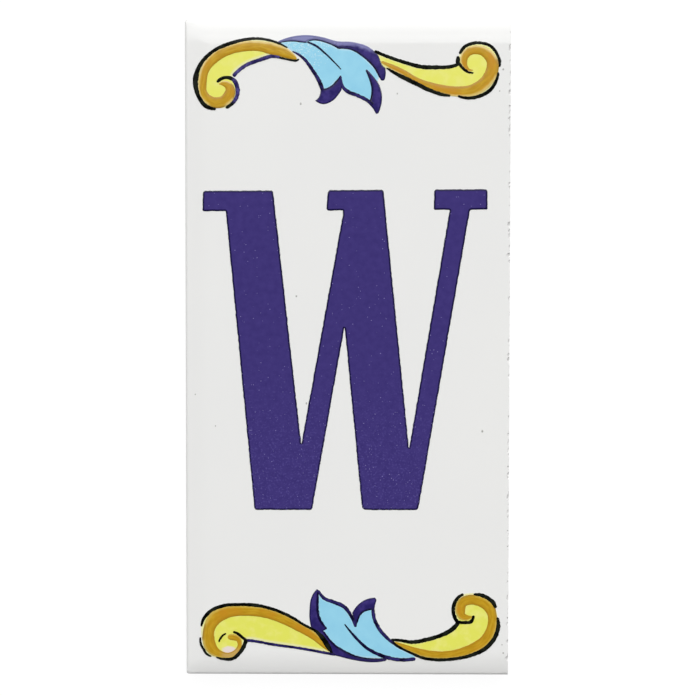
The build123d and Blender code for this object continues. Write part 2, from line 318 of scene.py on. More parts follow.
def start_tree(name, inputs):
    """A new Geometry Nodes tree; returns it with its input node's sockets and the inputs' identifiers."""
    tree = bpy.data.node_groups.new(name, "GeometryNodeTree")
    identifiers = {}
    for label, kind in inputs.items():
        socket = tree.interface.new_socket(label, in_out="INPUT", socket_type="NodeSocket" + kind)
        identifiers[label] = socket.identifier
    tree.interface.new_socket("Geometry", in_out="OUTPUT", socket_type="NodeSocketGeometry")
    return tree, tree.nodes.new("NodeGroupInput").outputs, identifiers


def end_tree(tree, geometry, material):
    """Closes a tree with plain meshes in one material."""
    real = put(tree, "GeometryNodeRealizeInstances", {"Geometry": geometry})
    coated = put(tree, "GeometryNodeSetMaterial", {"Geometry": real.outputs[0], "Material": material})
    put(tree, "NodeGroupOutput", {"Geometry": coated.outputs[0]})


def grow(name, tree, identifiers, values, start):
    """Runs a tree on its starting data and returns the outcome as a plain mesh."""
    carrier = bpy.data.objects.new(name, start)
    bpy.context.scene.collection.objects.link(carrier)
    nodes = carrier.modifiers.new(name, "NODES")
    nodes.node_group = tree
    for label, value in values.items():
        nodes[identifiers[label]] = value
    evaluated = carrier.evaluated_get(bpy.context.evaluated_depsgraph_get())
    mesh = bpy.data.meshes.new_from_object(evaluated)
    mesh.name = name
    bpy.data.objects.remove(carrier)
    return mesh


def waffle_tree():
    """Rows of drafted square studs, as on the die that presses the back."""
    inputs = {"Columns": "Int", "Rows": "Int", "Pitch": "Float", "Mouth": "Float", "Floor": "Float"}
    inputs |= {"Depth": "Float", "Middle": "Vector", "Material": "Material"}
    tree, given, identifiers = start_tree("waffle die", inputs)
    span_x = sum_of(tree, "MULTIPLY", sum_of(tree, "SUBTRACT", given["Columns"], 1), given["Pitch"])
    span_y = sum_of(tree, "MULTIPLY", sum_of(tree, "SUBTRACT", given["Rows"], 1), given["Pitch"])
    sizes = {"Size X": span_x, "Size Y": span_y, "Vertices X": given["Columns"], "Vertices Y": given["Rows"]}
    grid = put(tree, "GeometryNodeMeshGrid", sizes)
    placed = put(tree, "GeometryNodeTransform", {"Geometry": grid.outputs[0], "Translation": given["Middle"]})
    half_diagonal = math.sqrt(0.5)
    mouth = sum_of(tree, "MULTIPLY", given["Mouth"], half_diagonal)
    floor = sum_of(tree, "MULTIPLY", given["Floor"], half_diagonal)
    taper = {"Vertices": 4, "Radius Bottom": mouth, "Radius Top": floor, "Depth": given["Depth"]}
    stud = put(tree, "GeometryNodeMeshCone", taper)
    square = {"Points": placed.outputs[0], "Instance": stud.outputs[0], "Rotation": (0, 0, math.pi / 4)}
    end_tree(tree, put(tree, "GeometryNodeInstanceOnPoints", square).outputs[0], given["Material"])
    return tree, identifiers


def chip_tree():
    """Flakes along a line, most of them small, which the saw knocked out of the glaze's edge."""
    inputs = {"Chips": "Int", "Start": "Vector", "End": "Vector", "Smallest": "Float", "Largest": "Float"}
    inputs |= {"Scatter": "Vector", "Seed": "Int", "Material": "Material"}
    tree, given, identifiers = start_tree("saw chips", inputs)

    def random(kind, low, high, offset):
        seed = sum_of(tree, "ADD", given["Seed"], offset)
        node = put(tree, "FunctionNodeRandomValue", {"Seed": seed}, data_type=kind)
        plug(tree, [socket for socket in node.inputs if socket.enabled], {0: low, 1: high})
        return next(socket for socket in node.outputs if socket.enabled)

    ends = {"Count": given["Chips"], "Start Location": given["Start"], "Offset": given["End"]}
    line = put(tree, "GeometryNodeMeshLine", ends, mode="END_POINTS")
    against = vector_of(tree, "MULTIPLY", given["Scatter"], (-1, -1, -1))
    shift = random("FLOAT_VECTOR", against, given["Scatter"], 1)
    loose = put(tree, "GeometryNodeSetPosition", {"Geometry": line.outputs[0], "Offset": shift})
    rare = sum_of(tree, "POWER", random("FLOAT", 0.0, 1.0, 2), 4.0)
    spread = sum_of(tree, "SUBTRACT", given["Largest"], given["Smallest"])
    radius = sum_of(tree, "MULTIPLY_ADD", rare, spread, given["Smallest"])
    stretch = random("FLOAT_VECTOR", (0.7, 0.8, 0.6), (1.2, 1.9, 1.1), 3)
    size = put(tree, "ShaderNodeVectorMath", {0: stretch, "Scale": radius}, operation="SCALE")
    turn = random("FLOAT_VECTOR", (-0.6, -0.6, -0.6), (0.6, 0.6, 0.6), 4)
    turned = put(tree, "FunctionNodeEulerToRotation", {0: turn})
    flake = put(tree, "GeometryNodeMeshIcoSphere", {"Radius": 1.0, "Subdivisions": 2})
    scattered = {"Points": loose.outputs[0], "Instance": flake.outputs[0]}
    scattered |= {"Rotation": turned.outputs[0], "Scale": size.outputs[0]}
    end_tree(tree, put(tree, "GeometryNodeInstanceOnPoints", scattered).outputs[0], given["Material"])
    return tree, identifiers


STUD_OVERLAP = 0.2 * MM  # the die starts below the back, so that its mouths cut clean
KEY_COLUMNS = 5
KEY_ROWS = 9
KEY_RIM = 5.956 * MM  # from the tile's edge to the middle of the first rib
KEY_PITCH = 15.333 * MM
KEY_MOUTH = 12.333 * MM
KEY_DEPTH = 0.8 * MM
KEY_DRAFT = math.tan(math.radians(30))
CHIP_MARGIN = 2 * MM  # the chips stop this far short of the tile's ends
CHIP_LINE = saw_cut + 0.12 * MM
first_column = tile_low.x + KEY_RIM + KEY_PITCH / 2
stud_values = {
    "Columns": KEY_COLUMNS,
    "Rows": KEY_ROWS,
    "Pitch": KEY_PITCH,
    "Mouth": KEY_MOUTH + 2 * STUD_OVERLAP * KEY_DRAFT,
    "Floor": KEY_MOUTH - 2 * KEY_DEPTH * KEY_DRAFT,
    "Depth": KEY_DEPTH + STUD_OVERLAP,
    "Middle": (first_column + KEY_PITCH * (KEY_COLUMNS - 1) / 2, 0, -STUD_OVERLAP),
    "Material": biscuit,
}
chip_values = {
    "Chips": 190,
    "Start": (CHIP_LINE, tile_low.y + CHIP_MARGIN, face),
    "End": (CHIP_LINE, tile_high.y - CHIP_MARGIN, face),
    "Smallest": 0.16 * MM,
    "Largest": 0.75 * MM,
    "Scatter": (0.12 * MM, 0.5 * MM, 0.1 * MM),
    "Seed": 7,
    "Material": broken_glaze_and_shade(),
}
cutters = []
for name, (tree, identifiers), values in (
    ("waffle_die", waffle_tree(), stud_values),
    ("saw_chips", chip_tree(), chip_values),
):
    mesh = grow(name, tree, identifiers, values, bpy.data.meshes.new(name))
    cutter = bpy.data.objects.new(name, mesh)
    bpy.context.scene.collection.objects.link(cutter)
    cut = tile_body.modifiers.new(name, "BOOLEAN")
    cut.object = cutter
    cut.solver = "EXACT"
    cut.use_self = True
    cut.material_mode = "TRANSFER"
    cutters.append(cutter)
finished = tile_body.evaluated_get(bpy.context.evaluated_depsgraph_get())
tile_body.data = bpy.data.meshes.new_from_object(finished)
tile_body.modifiers.clear()
for cutter in cutters:
    bpy.data.objects.remove(cutter)
tile_body.data.shade_smooth()
tile_body.data.set_sharp_from_angle(angle=SMOOTHEST_EDGE)
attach(tile_body, "root")
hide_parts("letter_tile")


# Iron specks
# Grains of iron from the clay that melted through to the glaze, and pinholes left by gas; each is a
# grey dot no wider than half a millimetre, level with the glaze.
SPECKS = [  # (x, y, radius) in millimetres
    (-10.6, 55.9, 0.22), (11.3, 58.2, 0.16), (-11.6, 12.2, 0.20), (-9.3, -12.3, 0.20),
    (-30.1, -17.5, 0.14), (30.9, -18.6, 0.24), (-34.7, -10.3, 0.15), (35.3, 63.7, 0.20),
    (34.5, 58.8, 0.15), (35.9, -69.7, 0.18), (35.6, -67.8, 0.14),
]
SPECK_HEIGHT = 0.15  # share of the radius
SPECK_LENGTH = 1.3


def ground(x, y):
    """Height of the glaze at a place on the face."""
    return glaze_surface.ray_cast(Vector((x, y, 1)), Vector((0, 0, -1)))[0].z


def speck_finish():
    """Grey iron oxide, lighter where the glaze thins over it."""
    material, tree, shader, place = start_finish("iron speck")
    grey = tint(tree, cloud(tree, place, 0.25 * MM), paint(160, 160, 156), paint(188, 188, 183))
    plug(tree, shader, {"Base Color": grey, "Roughness": 0.3})
    return material


def add_piece(name, mesh, material):
    """Puts a finished mesh on the tile."""
    mesh.materials.clear()
    mesh.materials.append(material)
    piece = bpy.data.objects.new(name, mesh)
    bpy.context.scene.collection.objects.link(piece)
    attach(piece, "root")


shape = bmesh.new()
for x, y, radius in SPECKS:
    dot = bmesh.ops.create_icosphere(shape, subdivisions=2, radius=radius * MM)["verts"]
    for vert in dot:
        vert.co = (vert.co.x, vert.co.y * SPECK_LENGTH, vert.co.z * SPECK_HEIGHT)
        vert.co += Vector((x * MM, y * MM, ground(x * MM, y * MM)))
speck_mesh = bpy.data.meshes.new("iron_specks")
shape.to_mesh(speck_mesh)
shape.free()
speck_mesh.shade_smooth()
add_piece("iron_specks", speck_mesh, speck_finish())


# Letter
# Blue-violet enamel laid on through a stencil as one flat pool and fired into the glaze; it stands a
# tenth of a millimetre proud, is darker where it gathered at its edge and is freckled with white.
LETTER_RISE = 0.007  # the top line climbs this much for each millimetre to the right
CAP = 36.39
SERIF_FOOT = 31.74
BASE = -36.77
LETTER_CORNERS = [  # (x, y, rise, corner radius) in millimetres, clockwise from the top left
    (-32.85, CAP, LETTER_RISE, 0.7), (-16.9, CAP, LETTER_RISE, 0.5),
    (-10.48, BASE + 15.06, 0, 0.05), (-1.05, SERIF_FOOT - 1.06, LETTER_RISE, 0.1),
    (-1.05, SERIF_FOOT, LETTER_RISE, 0.05), (-4.8, SERIF_FOOT, LETTER_RISE, 0.4),
    (-4.38, CAP, LETTER_RISE, 0.55), (8.2, CAP, LETTER_RISE, 0.5),
    (14.15, BASE + 14.12, 0, 0.05), (23.26, SERIF_FOOT, LETTER_RISE, 0.2),
    (19.65, SERIF_FOOT, LETTER_RISE, 0.4), (19.75, CAP, LETTER_RISE, 0.55),
    (31.8, CAP, LETTER_RISE, 0.6), (31.92, SERIF_FOOT, LETTER_RISE, 0.45),
    (27.91, SERIF_FOOT, LETTER_RISE, 0.3), (16.28, BASE, 0, 0.8),
    (3.45, BASE, 0, 1.1), (-0.6, BASE + 42.03, 0, 0.05),
    (-8.0, BASE, 0, 0.6), (-21.2, BASE, 0, 0.6),
    (-27.68, SERIF_FOOT, LETTER_RISE, 0.15), (-33.0, SERIF_FOOT, LETTER_RISE, 0.45),
]
OUTLINE_STEP = 0.35 * MM
ARC_STEPS = 4  # in each rounded corner of the letter
LETTER_WAVER = 0.1 * MM  # the most that its edge wavers, along x or y
WAVER_LENGTH = 0.75 * MM
WAVER_SEED = 7
LETTER_THICKNESS = 0.1 * MM
LETTER_SOFT_EDGE = 0.15 * MM
POOL_RINGS = [  # (distance inside the edge, every how many points of the outline): rows of points in a pool
    (0.12 * MM, 1), (0.28 * MM, 1), (0.55 * MM, 2), (1.0 * MM, 3),
]
POOL_PITCH = 1.5 * MM  # between the points further inside
POOL_ROOT = 0.02 * MM  # a pool reaches this far into the glaze
POOL_EDGE = 0.25  # its thickness at the edge, as a share of the whole
CRISPEST_POOL = math.radians(50)
PROBE = 0.01 * MM  # how far beside an outline to look for its inner side


def straight_outline(corners):
    """Points along straight sides whose corners are rounded; corners are in millimetres."""
    places = [Vector((x, y + rise * x)) * MM for x, y, rise, radius in corners]
    points = []
    for i, corner in enumerate(places):
        before = (places[i - 1] - corner).normalized()
        after = (places[(i + 1) % len(places)] - corner).normalized()
        half_angle = before.angle(after) / 2
        radius = corners[i][3] * MM
        reach = radius / math.tan(half_angle)
        centre = corner + (before + after).normalized() * (radius / math.sin(half_angle))
        start = corner + before * reach - centre
        turn = start.angle_signed(corner + after * reach - centre)
        for step in range(ARC_STEPS + 1):
            angle = -turn * step / ARC_STEPS
            c, s = math.cos(angle), math.sin(angle)
            points.append(centre + Vector((c * start.x - s * start.y, s * start.x + c * start.y)))
    filled = []
    for first, last in zip(points, points[1:] + points[:1]):
        count = max(1, round((last - first).length / OUTLINE_STEP))
        filled += [first.lerp(last, step / count) for step in range(count)]
    return np.array(filled)


def crept(outline, reach, length):
    """An outline that wavers, as where paint creeps under a stencil."""
    noise.seed_set(WAVER_SEED)
    shifts = [noise.noise_vector(Vector((x, y, 0)) / length) for x, y in outline]
    return outline + np.array([shift[:2] for shift in shifts]) * reach


def inside(points, outline):
    """Which points lie inside an outline."""
    x, y = points[:, :1], points[:, 1:]
    x0, y0 = outline[:, 0], outline[:, 1]
    x1, y1 = np.roll(x0, -1), np.roll(y0, -1)
    crosses = (y0 > y) != (y1 > y)
    level = np.where(y1 == y0, 1e-12, y1 - y0)
    return (crosses & (x < x0 + (y - y0) * (x1 - x0) / level)).sum(1) % 2 == 1


def edge_distance(points, outline):
    """How far each point lies from an outline."""
    start = outline[None]
    run = (np.roll(outline, -1, 0) - outline)[None]
    offset = points[:, None] - start
    share = np.clip((offset * run).sum(2) / np.maximum((run * run).sum(2), 1e-18), 0, 1)
    return np.linalg.norm(offset - share[..., None] * run, axis=2).min(1)


def enamel_pool(name, outlines, thickness, soft_edge):
    """Closed pools of enamel on the glaze, one in each outline, thinning over a soft edge.

    Their rim attribute is the distance from the edge, in millimetres.
    """
    verts, faces, rims = [], [], []
    for outline in outlines:
        run = np.roll(outline, -1, 0) - np.roll(outline, 1, 0)
        normal = np.stack([-run[:, 1], run[:, 0]], 1) / np.linalg.norm(run, axis=1)[:, None]
        if not inside(outline[:1] + normal[:1] * PROBE, outline)[0]:
            normal = -normal
        spots = [outline]
        for depth, thinning in POOL_RINGS:
            ring = (outline + normal * depth)[::thinning]
            spots.append(ring[inside(ring, outline) & (edge_distance(ring, outline) > depth * 0.8)])
        low, high = outline.min(0), outline.max(0)
        columns, rows = [np.arange(low[axis], high[axis], POOL_PITCH) for axis in (0, 1)]
        grid = np.stack(np.meshgrid(columns, rows), -1).reshape(-1, 2)
        grid = grid[inside(grid, outline)]
        spots.append(grid[edge_distance(grid, outline) > POOL_PITCH])
        flat = [Vector(spot) for spot in np.concatenate(spots)]
        count = len(outline)
        border = [(i, (i + 1) % count) for i in range(count)]
        flat, _, triangles, _, _, _ = delaunay_2d_cdt(flat, border, [], 1, 1e-9)
        flat = np.array(flat)
        depth = edge_distance(flat, outline)
        soft = 1 - (1 - np.clip(depth / soft_edge, 0, 1)) ** 2
        under = np.array([ground(x, y) for x, y in flat])
        above = under + thickness * (POOL_EDGE + (1 - POOL_EDGE) * soft)
        first = len(verts)
        verts += [(x, y, z) for (x, y), z in zip(flat, above)]
        verts += [(x, y, z) for (x, y), z in zip(flat, under - POOL_ROOT)]
        rims += [*(depth / MM), *(depth / MM)]
        lower = first + len(flat)
        sides = set()
        for a, b, c in triangles:
            faces.append((first + a, first + b, first + c))
            faces.append((lower + c, lower + b, lower + a))
            sides |= {(a, b), (b, c), (c, a)}
        for a, b in sorted(sides):
            if (b, a) not in sides:
                faces.append((first + b, first + a, lower + a, lower + b))
    mesh = bpy.data.meshes.new(name)
    mesh.from_pydata(verts, [], faces)
    mesh.attributes.new("rim", "FLOAT", "POINT").data.foreach_set("value", rims)
    mesh.shade_smooth()
    mesh.set_sharp_from_angle(angle=CRISPEST_POOL)
    return mesh


def attribute(tree, name):
    """A number that the mesh carries."""
    return put(tree, "ShaderNodeAttribute", {}, attribute_name=name).outputs["Fac"]


def freckles(tree, place, pitch, radius, share):
    """Round dots in some of the cells of an uneven grid: 1 in a dot, 0 outside."""
    cells = put(tree, "ShaderNodeTexVoronoi", {"Vector": place, "Scale": 1 / pitch, "Randomness": 1.0})
    chance = put(tree, "ShaderNodeSeparateXYZ", {0: cells.outputs["Color"]}).outputs
    size = sum_of(tree, "MULTIPLY", chance["Y"], radius / pitch)
    near = fade(tree, sum_of(tree, "SUBTRACT", size, cells.outputs["Distance"]), 0.0, 0.06)
    return sum_of(tree, "MULTIPLY", near, sum_of(tree, "LESS_THAN", chance["X"], share))


def letter_finish():
    """Blue-violet enamel, cloudy, dark at its rim, with white freckles that thicken towards its foot."""
    material, tree, shader, place = start_finish("blue letter enamel")
    body = tint(tree, cloud(tree, place, 1.4 * MM, 5.0), paint(55, 45, 108), paint(71, 60, 127))
    gathered = fade(tree, attribute(tree, "rim"), 0.25, 0.5)
    body = tint(tree, gathered, paint(18, 12, 58), body)
    low = fade(tree, axis_of(tree, place, "Y"), 5 * MM, -30 * MM)
    drift = sum_of(tree, "MULTIPLY", cloud(tree, place, 9 * MM), 0.25)
    share = sum_of(tree, "MULTIPLY_ADD", low, 0.16, drift)
    dots = freckles(tree, place, 0.42 * MM, 0.12 * MM, share)
    grain = fade(tree, cloud(tree, place, 0.45 * MM, 3.0), 0.5, 0.75)
    body = tint(tree, sum_of(tree, "MULTIPLY", grain, low), body, paint(80, 70, 138))
    flecked = tint(tree, sum_of(tree, "MULTIPLY", dots, 0.45), body, paint(176, 168, 224))
    plug(tree, shader, {"Base Color": flecked, "Roughness": 0.09})
    roughen(tree, shader, cloud(tree, place, 0.8 * MM), 0.3, 0.008 * MM)
    return material


letter_outline = crept(straight_outline(LETTER_CORNERS), LETTER_WAVER, WAVER_LENGTH)
letter_mesh = enamel_pool("letter_enamel", [letter_outline], LETTER_THICKNESS, LETTER_SOFT_EDGE)
add_piece("letter_enamel", letter_mesh, letter_finish())


# Yellow grounds
# Thin lemon-yellow enamel flooded between the drawn lines of the four scrolls; it runs under most of the
# lines, pales where it thins towards them and stops at the long line under each left-hand scroll.
BORDER_Y = 62.9  # middle of each border above or below the middle of the tile
YELLOW_GROUNDS = {  # closed chains of curves, in millimetres from each border's middle
    "top": [
        [
            [(-11.2, 3.0), (-12.4, 4.2), (-14.6, 5.9), (-17.5, 7.2), (-20.5, 7.5), (-26.0, 6.6), (-30.9, 4.5),
             (-33.4, 1.7), (-34.4, -1.5), (-33.7, -5.2), (-31.9, -7.6), (-29.5, -8.05), (-27.4, -7.8),
             (-25.6, -6.2), (-25.0, -4.2), (-25.4, -2.2), (-26.3, -1.2)],
            [(-26.3, -1.2), (-25.9, -0.25), (-23.55, 1.8), (-20.1, 3.25), (-16.9, 4.0), (-14.6, 3.35),
             (-11.2, 3.0)],
        ],
        [
            [(6.2, 4.6), (9.6, 3.5), (12.6, 2.45), (16.9, 1.35), (20.3, 1.25), (24.8, 1.95)],
            [(24.8, 1.95), (25.2, 3.6), (25.9, 5.1), (27.6, 6.4), (29.9, 6.7), (32.6, 5.8), (34.2, 3.4),
             (34.3, 0.8), (33.7, -1.7), (31.9, -4.0), (29.0, -5.5), (25.5, -5.5), (20.3, -4.5), (14.9, -2.1),
             (10.2, 0.4), (8.3, 1.0), (7.3, 1.8), (6.9, 2.9), (6.2, 4.6)],
        ],
    ],
    "bottom": [
        [
            [(-2.6, -7.4), (-4.3, -5.8), (-6.2, -2.7), (-9.5, -0.6), (-14.8, 2.5), (-20.6, 4.1), (-25.2, 4.2),
             (-29.8, 3.4), (-32.5, 1.7), (-33.4, -0.8), (-33.4, -3.5), (-32.7, -6.3), (-31.0, -7.8),
             (-29.3, -8.2), (-27.2, -8.3), (-25.3, -7.4), (-23.9, -5.3), (-23.4, -3.9)],
            [(-23.4, -3.9), (-22.6, -3.75), (-18.7, -4.4), (-12.0, -5.4), (-6.0, -6.45), (-2.6, -7.4)],
        ],
        [
            [(10.6, -4.0), (13.4, -4.1), (15.0, -4.3), (18.3, -3.7), (21.5, -2.7), (24.5, -1.0), (25.4, 0.3)],
            [(25.4, 0.3), (24.6, 2.0), (24.5, 3.5), (25.3, 5.5), (26.7, 6.7), (28.5, 7.0), (30.5, 6.7),
             (32.9, 5.4), (34.1, 3.5), (34.6, 0.7), (34.3, -2.6), (33.0, -4.9), (30.3, -6.7), (25.9, -8.1),
             (21.1, -8.4), (17.1, -7.8), (13.0, -6.1), (10.6, -4.0)],
        ],
    ],
}
BORDER_MIDDLES = {"top": (0, BORDER_Y), "bottom": (0, -BORDER_Y)}
GLARE_SPOT = (-27.05 * MM, -69.15 * MM, 0)  # middle of a whitish-pink spot in the lower left eye: a painted highlight, the lamp's glare on the glaze
GROUND_THICKNESS = 0.03 * MM
GROUND_SOFT_EDGE = 0.4 * MM


def smooth_run(points, spacing):
    """Points at an even spacing along a smooth open curve through given points."""
    knots = np.array(points, float)
    chords = np.linalg.norm(np.diff(knots[:, :2], axis=0), axis=1)
    along = np.concatenate([[0], np.cumsum(chords)])
    slopes = np.gradient(knots, along, axis=0, edge_order=min(2, len(knots) - 1))
    spots = np.linspace(0, along[-1], max(3, round(along[-1] / spacing) + 1))
    i = np.clip(np.searchsorted(along, spots, side="right") - 1, 0, len(chords) - 1)
    t = ((spots - along[i]) / chords[i])[:, None]
    reach = chords[i][:, None]
    ends = (1 + 2 * t) * (1 - t) ** 2 * knots[i] + t**2 * (3 - 2 * t) * knots[i + 1]
    return ends + t * (1 - t) ** 2 * reach * slopes[i] + t**2 * (t - 1) * reach * slopes[i + 1]


def curved_outline(curves, middle):
    """A closed outline from curves that meet at its corners, in metres."""
    runs = [smooth_run(curve, OUTLINE_STEP / MM)[:-1] for curve in curves]
    return (np.concatenate(runs) + np.array(middle)) * MM


def border_outlines(fields):
    """Outlines of the fields of both borders."""
    return [curved_outline(field, BORDER_MIDDLES[end]) for end in fields for field in fields[end]]


def towards_head(tree, place):
    """0 in the bottom border, 1 in the top one."""
    return fade(tree, axis_of(tree, place, "Y"), -50 * MM, 50 * MM)


def yellow_finish():
    """Lemon yellow, cloudy, greener at the foot of the tile and almost white at its thin rim, with a painted
    highlight.
    """
    material, tree, shader, place = start_finish("yellow enamel")
    body = tint(tree, towards_head(tree, place), paint(227, 228, 98), paint(230, 230, 106))
    body = tint(tree, fade(tree, cloud(tree, place, 2.2 * MM, 4.0), 0.4, 0.8), body, paint(234, 232, 130))
    thin = fade(tree, attribute(tree, "rim"), 0.15, 0.8)
    body = tint(tree, thin, paint(233, 231, 176), body)
    # Painted highlight: round this spot the yellow turns whitish pink in a ragged oval, standing for the
    # lamp's glare on the glaze.
    from_glare = vector_of(tree, "SUBTRACT", place, GLARE_SPOT)
    oval = vector_of(tree, "MULTIPLY", from_glare, (0.5, 1, 0))
    reach = distance_of(tree, oval, (0, 0, 0))
    ragged = sum_of(tree, "MULTIPLY_ADD", cloud(tree, place, 0.8 * MM), 0.5 * MM, reach)
    glare = fade(tree, ragged, 1.3 * MM, 0.8 * MM)
    plug(tree, shader, {"Base Color": tint(tree, glare, body, paint(232, 218, 212)), "Roughness": 0.12})
    roughen(tree, shader, cloud(tree, place, 1.2 * MM), 0.4, 0.015 * MM)
    return material


yellow_outlines = border_outlines(YELLOW_GROUNDS)
yellow_mesh = enamel_pool("yellow_grounds", yellow_outlines, GROUND_THICKNESS, GROUND_SOFT_EDGE)
add_piece("yellow_grounds", yellow_mesh, yellow_finish())


# Ochre shading
# A broad brush stroke of ochre enamel along the back of each scroll, over the yellow; the stroke follows
# the coil, swells and thins with the brush, is darkest at its inner edge and feathers out at its outer
# edge, apart from the places where the outline breaks off.
OCHRE_STROKES = {  # (x, y, half width) in millimetres from each border's middle
    "top": [
        [(-11.5, 3.15, 0.25), (-13.0, 3.95, 0.85), (-14.5, 4.65, 1.2), (-17.5, 5.5, 1.33), (-20.0, 6.0, 1.15),
         (-23.0, 6.0, 1.15), (-26.0, 5.4, 1.1), (-29.5, 3.9, 1.2), (-32.1, 1.1, 1.0), (-32.9, -2.0, 0.95),
         (-32.6, -4.9, 0.95), (-30.2, -6.75, 1.2), (-28.1, -6.45, 1.25), (-26.85, -5.1, 1.25),
         (-26.6, -3.8, 1.1), (-27.25, -2.75, 0.85), (-28.4, -2.4, 0.5), (-29.2, -2.6, 0.1)],
        [(7.6, 2.5, 0.25), (9.5, 1.6, 0.5), (12.0, 0.4, 0.65), (16.0, -1.9, 0.7), (19.9, -3.4, 1.0),
         (24.6, -4.2, 1.15), (28.3, -4.0, 1.35), (31.3, -2.1, 1.4), (32.7, 0.2, 1.45), (32.8, 2.6, 1.3),
         (31.8, 4.1, 1.15), (30.4, 5.0, 1.05), (28.95, 5.2, 1.0), (27.3, 4.7, 0.95), (26.35, 3.1, 0.85),
         (26.7, 1.5, 0.55), (27.5, 0.65, 0.3), (28.5, 0.6, 0.1)],
    ],
    "bottom": [
        [(-4.0, -6.5, 0.2), (-5.4, -5.0, 0.6), (-7.6, -3.0, 0.85), (-11.2, -0.85, 1.0),
         (-14.7, 0.95, 1.1), (-18.6, 2.3, 1.15), (-22.9, 2.85, 1.2), (-27.4, 2.55, 1.4),
         (-30.4, 1.0, 1.55), (-31.75, -1.9, 1.3), (-31.8, -3.9, 1.4), (-31.0, -6.0, 1.3),
         (-29.3, -7.2, 0.85), (-27.3, -7.55, 0.65), (-25.4, -6.7, 0.6), (-24.6, -5.2, 0.5),
         (-24.9, -3.85, 0.6), (-26.1, -3.3, 0.75), (-27.4, -3.4, 0.55)],
        [(11.0, -4.35, 0.2), (13.4, -5.45, 0.5), (16.5, -6.6, 0.8), (20.3, -7.3, 0.9), (24.3, -7.15, 0.95),
         (28.5, -5.95, 1.15), (31.8, -3.9, 1.3), (33.2, -1.1, 1.15), (33.35, 1.7, 1.05), (32.7, 3.6, 1.2),
         (30.6, 5.1, 1.2), (28.2, 5.5, 1.15), (26.5, 4.8, 1.15), (26.0, 3.0, 1.15), (26.4, 1.75, 0.9),
         (27.6, 1.35, 0.6), (28.7, 1.6, 0.2)],
    ],
}
STROKE_SPACING = 0.4  # millimetres between the points of a stroke's smooth run
BRUSH_STEP = 0.15 * MM
BEAD_SIDES = 16
OCHRE_LIFT = 0.035 * MM
OCHRE_CROWN = 0.03 * MM
OUTLINE_GAPS = [  # (x, y) in millimetres; where the outline breaks off, the ochre is full to its edge
    (-29.5, 55.2), (-25.6, 58.9), (34.0, 64.2), (34.0, -60.4), (27.6, -56.5), (-33.2, -65.0),
]
FACE_LEVEL = 7 * MM
TAN_EYE = (-26.6 * MM, -70.4 * MM, FACE_LEVEL)  # middle of a part of the lower left coil where the ochre turns paler and tan


def brush_tree():
    """A brush stroke along each curve: a lens-shaped bead as wide as the curve's radius, with round ends."""
    inputs = {"Geometry": "Geometry", "Spacing": "Float", "Rise": "Float", "Wobble": "Float"}
    inputs |= {"Wobble length": "Float", "Tremble": "Float", "Material": "Material"}
    tree, given, identifiers = start_tree("brush stroke", inputs)
    step = {"Curve": given["Geometry"], "Length": given["Spacing"]}
    line = put(tree, "GeometryNodeResampleCurve", step, mode="LENGTH").outputs[0]
    place = put(tree, "GeometryNodeInputPosition", {}).outputs[0]
    fineness = sum_of(tree, "DIVIDE", 1.0, given["Wobble length"])
    hand = put(tree, "ShaderNodeTexNoise", {"Vector": place, "Scale": fineness, "Detail": 1.0}).outputs
    reach = put(tree, "ShaderNodeCombineXYZ", {"X": given["Tremble"], "Y": given["Tremble"]}).outputs[0]
    shake = vector_of(tree, "MULTIPLY", vector_of(tree, "SUBTRACT", hand["Color"], (0.5, 0.5, 0.5)), reach)
    shaken = put(tree, "GeometryNodeSetPosition", {"Geometry": line, "Offset": shake}).outputs[0]
    upright = put(tree, "GeometryNodeSetCurveNormal", {"Curve": shaken}, mode="Z_UP").outputs[0]
    along = put(tree, "GeometryNodeSplineParameter", {}).outputs["Length"]
    whole = put(tree, "GeometryNodeSplineLength", {}).outputs["Length"]
    width = put(tree, "GeometryNodeInputRadius", {}).outputs[0]
    to_end = sum_of(tree, "MINIMUM", along, sum_of(tree, "SUBTRACT", whole, along))
    share = sum_of(tree, "MINIMUM", sum_of(tree, "DIVIDE", to_end, width), 1.0)
    missing = sum_of(tree, "POWER", sum_of(tree, "SUBTRACT", 1.0, share), 2.0)
    rounding = sum_of(tree, "MAXIMUM", sum_of(tree, "SQRT", sum_of(tree, "SUBTRACT", 1.0, missing)), 0.05)
    uneven = sum_of(tree, "SUBTRACT", hand["Fac"], 0.5)
    swell = sum_of(tree, "MULTIPLY_ADD", uneven, given["Wobble"], 1.0)
    half_width = sum_of(tree, "MULTIPLY", sum_of(tree, "MULTIPLY", width, rounding), swell)
    marked = {"Geometry": upright, "Name": "along", "Value": along}
    marked_line = put(tree, "GeometryNodeStoreNamedAttribute", marked).outputs[0]
    ring = {"Resolution": BEAD_SIDES, "Radius": 1.0}
    circle = put(tree, "GeometryNodeCurvePrimitiveCircle", ring).outputs[0]
    crossed = {"Geometry": circle, "Name": "across", "Value": axis_of(tree, place, "X")}
    marked_circle = put(tree, "GeometryNodeStoreNamedAttribute", crossed).outputs[0]
    flat = put(tree, "ShaderNodeCombineXYZ", {"X": 1.0, "Y": given["Rise"], "Z": 1.0}).outputs[0]
    lens = put(tree, "GeometryNodeTransform", {"Geometry": marked_circle, "Scale": flat}).outputs[0]
    sweep = {"Curve": marked_line, "Profile Curve": lens, "Scale": half_width, "Fill Caps": True}
    end_tree(tree, put(tree, "GeometryNodeCurveToMesh", sweep).outputs[0], given["Material"])
    return tree, identifiers


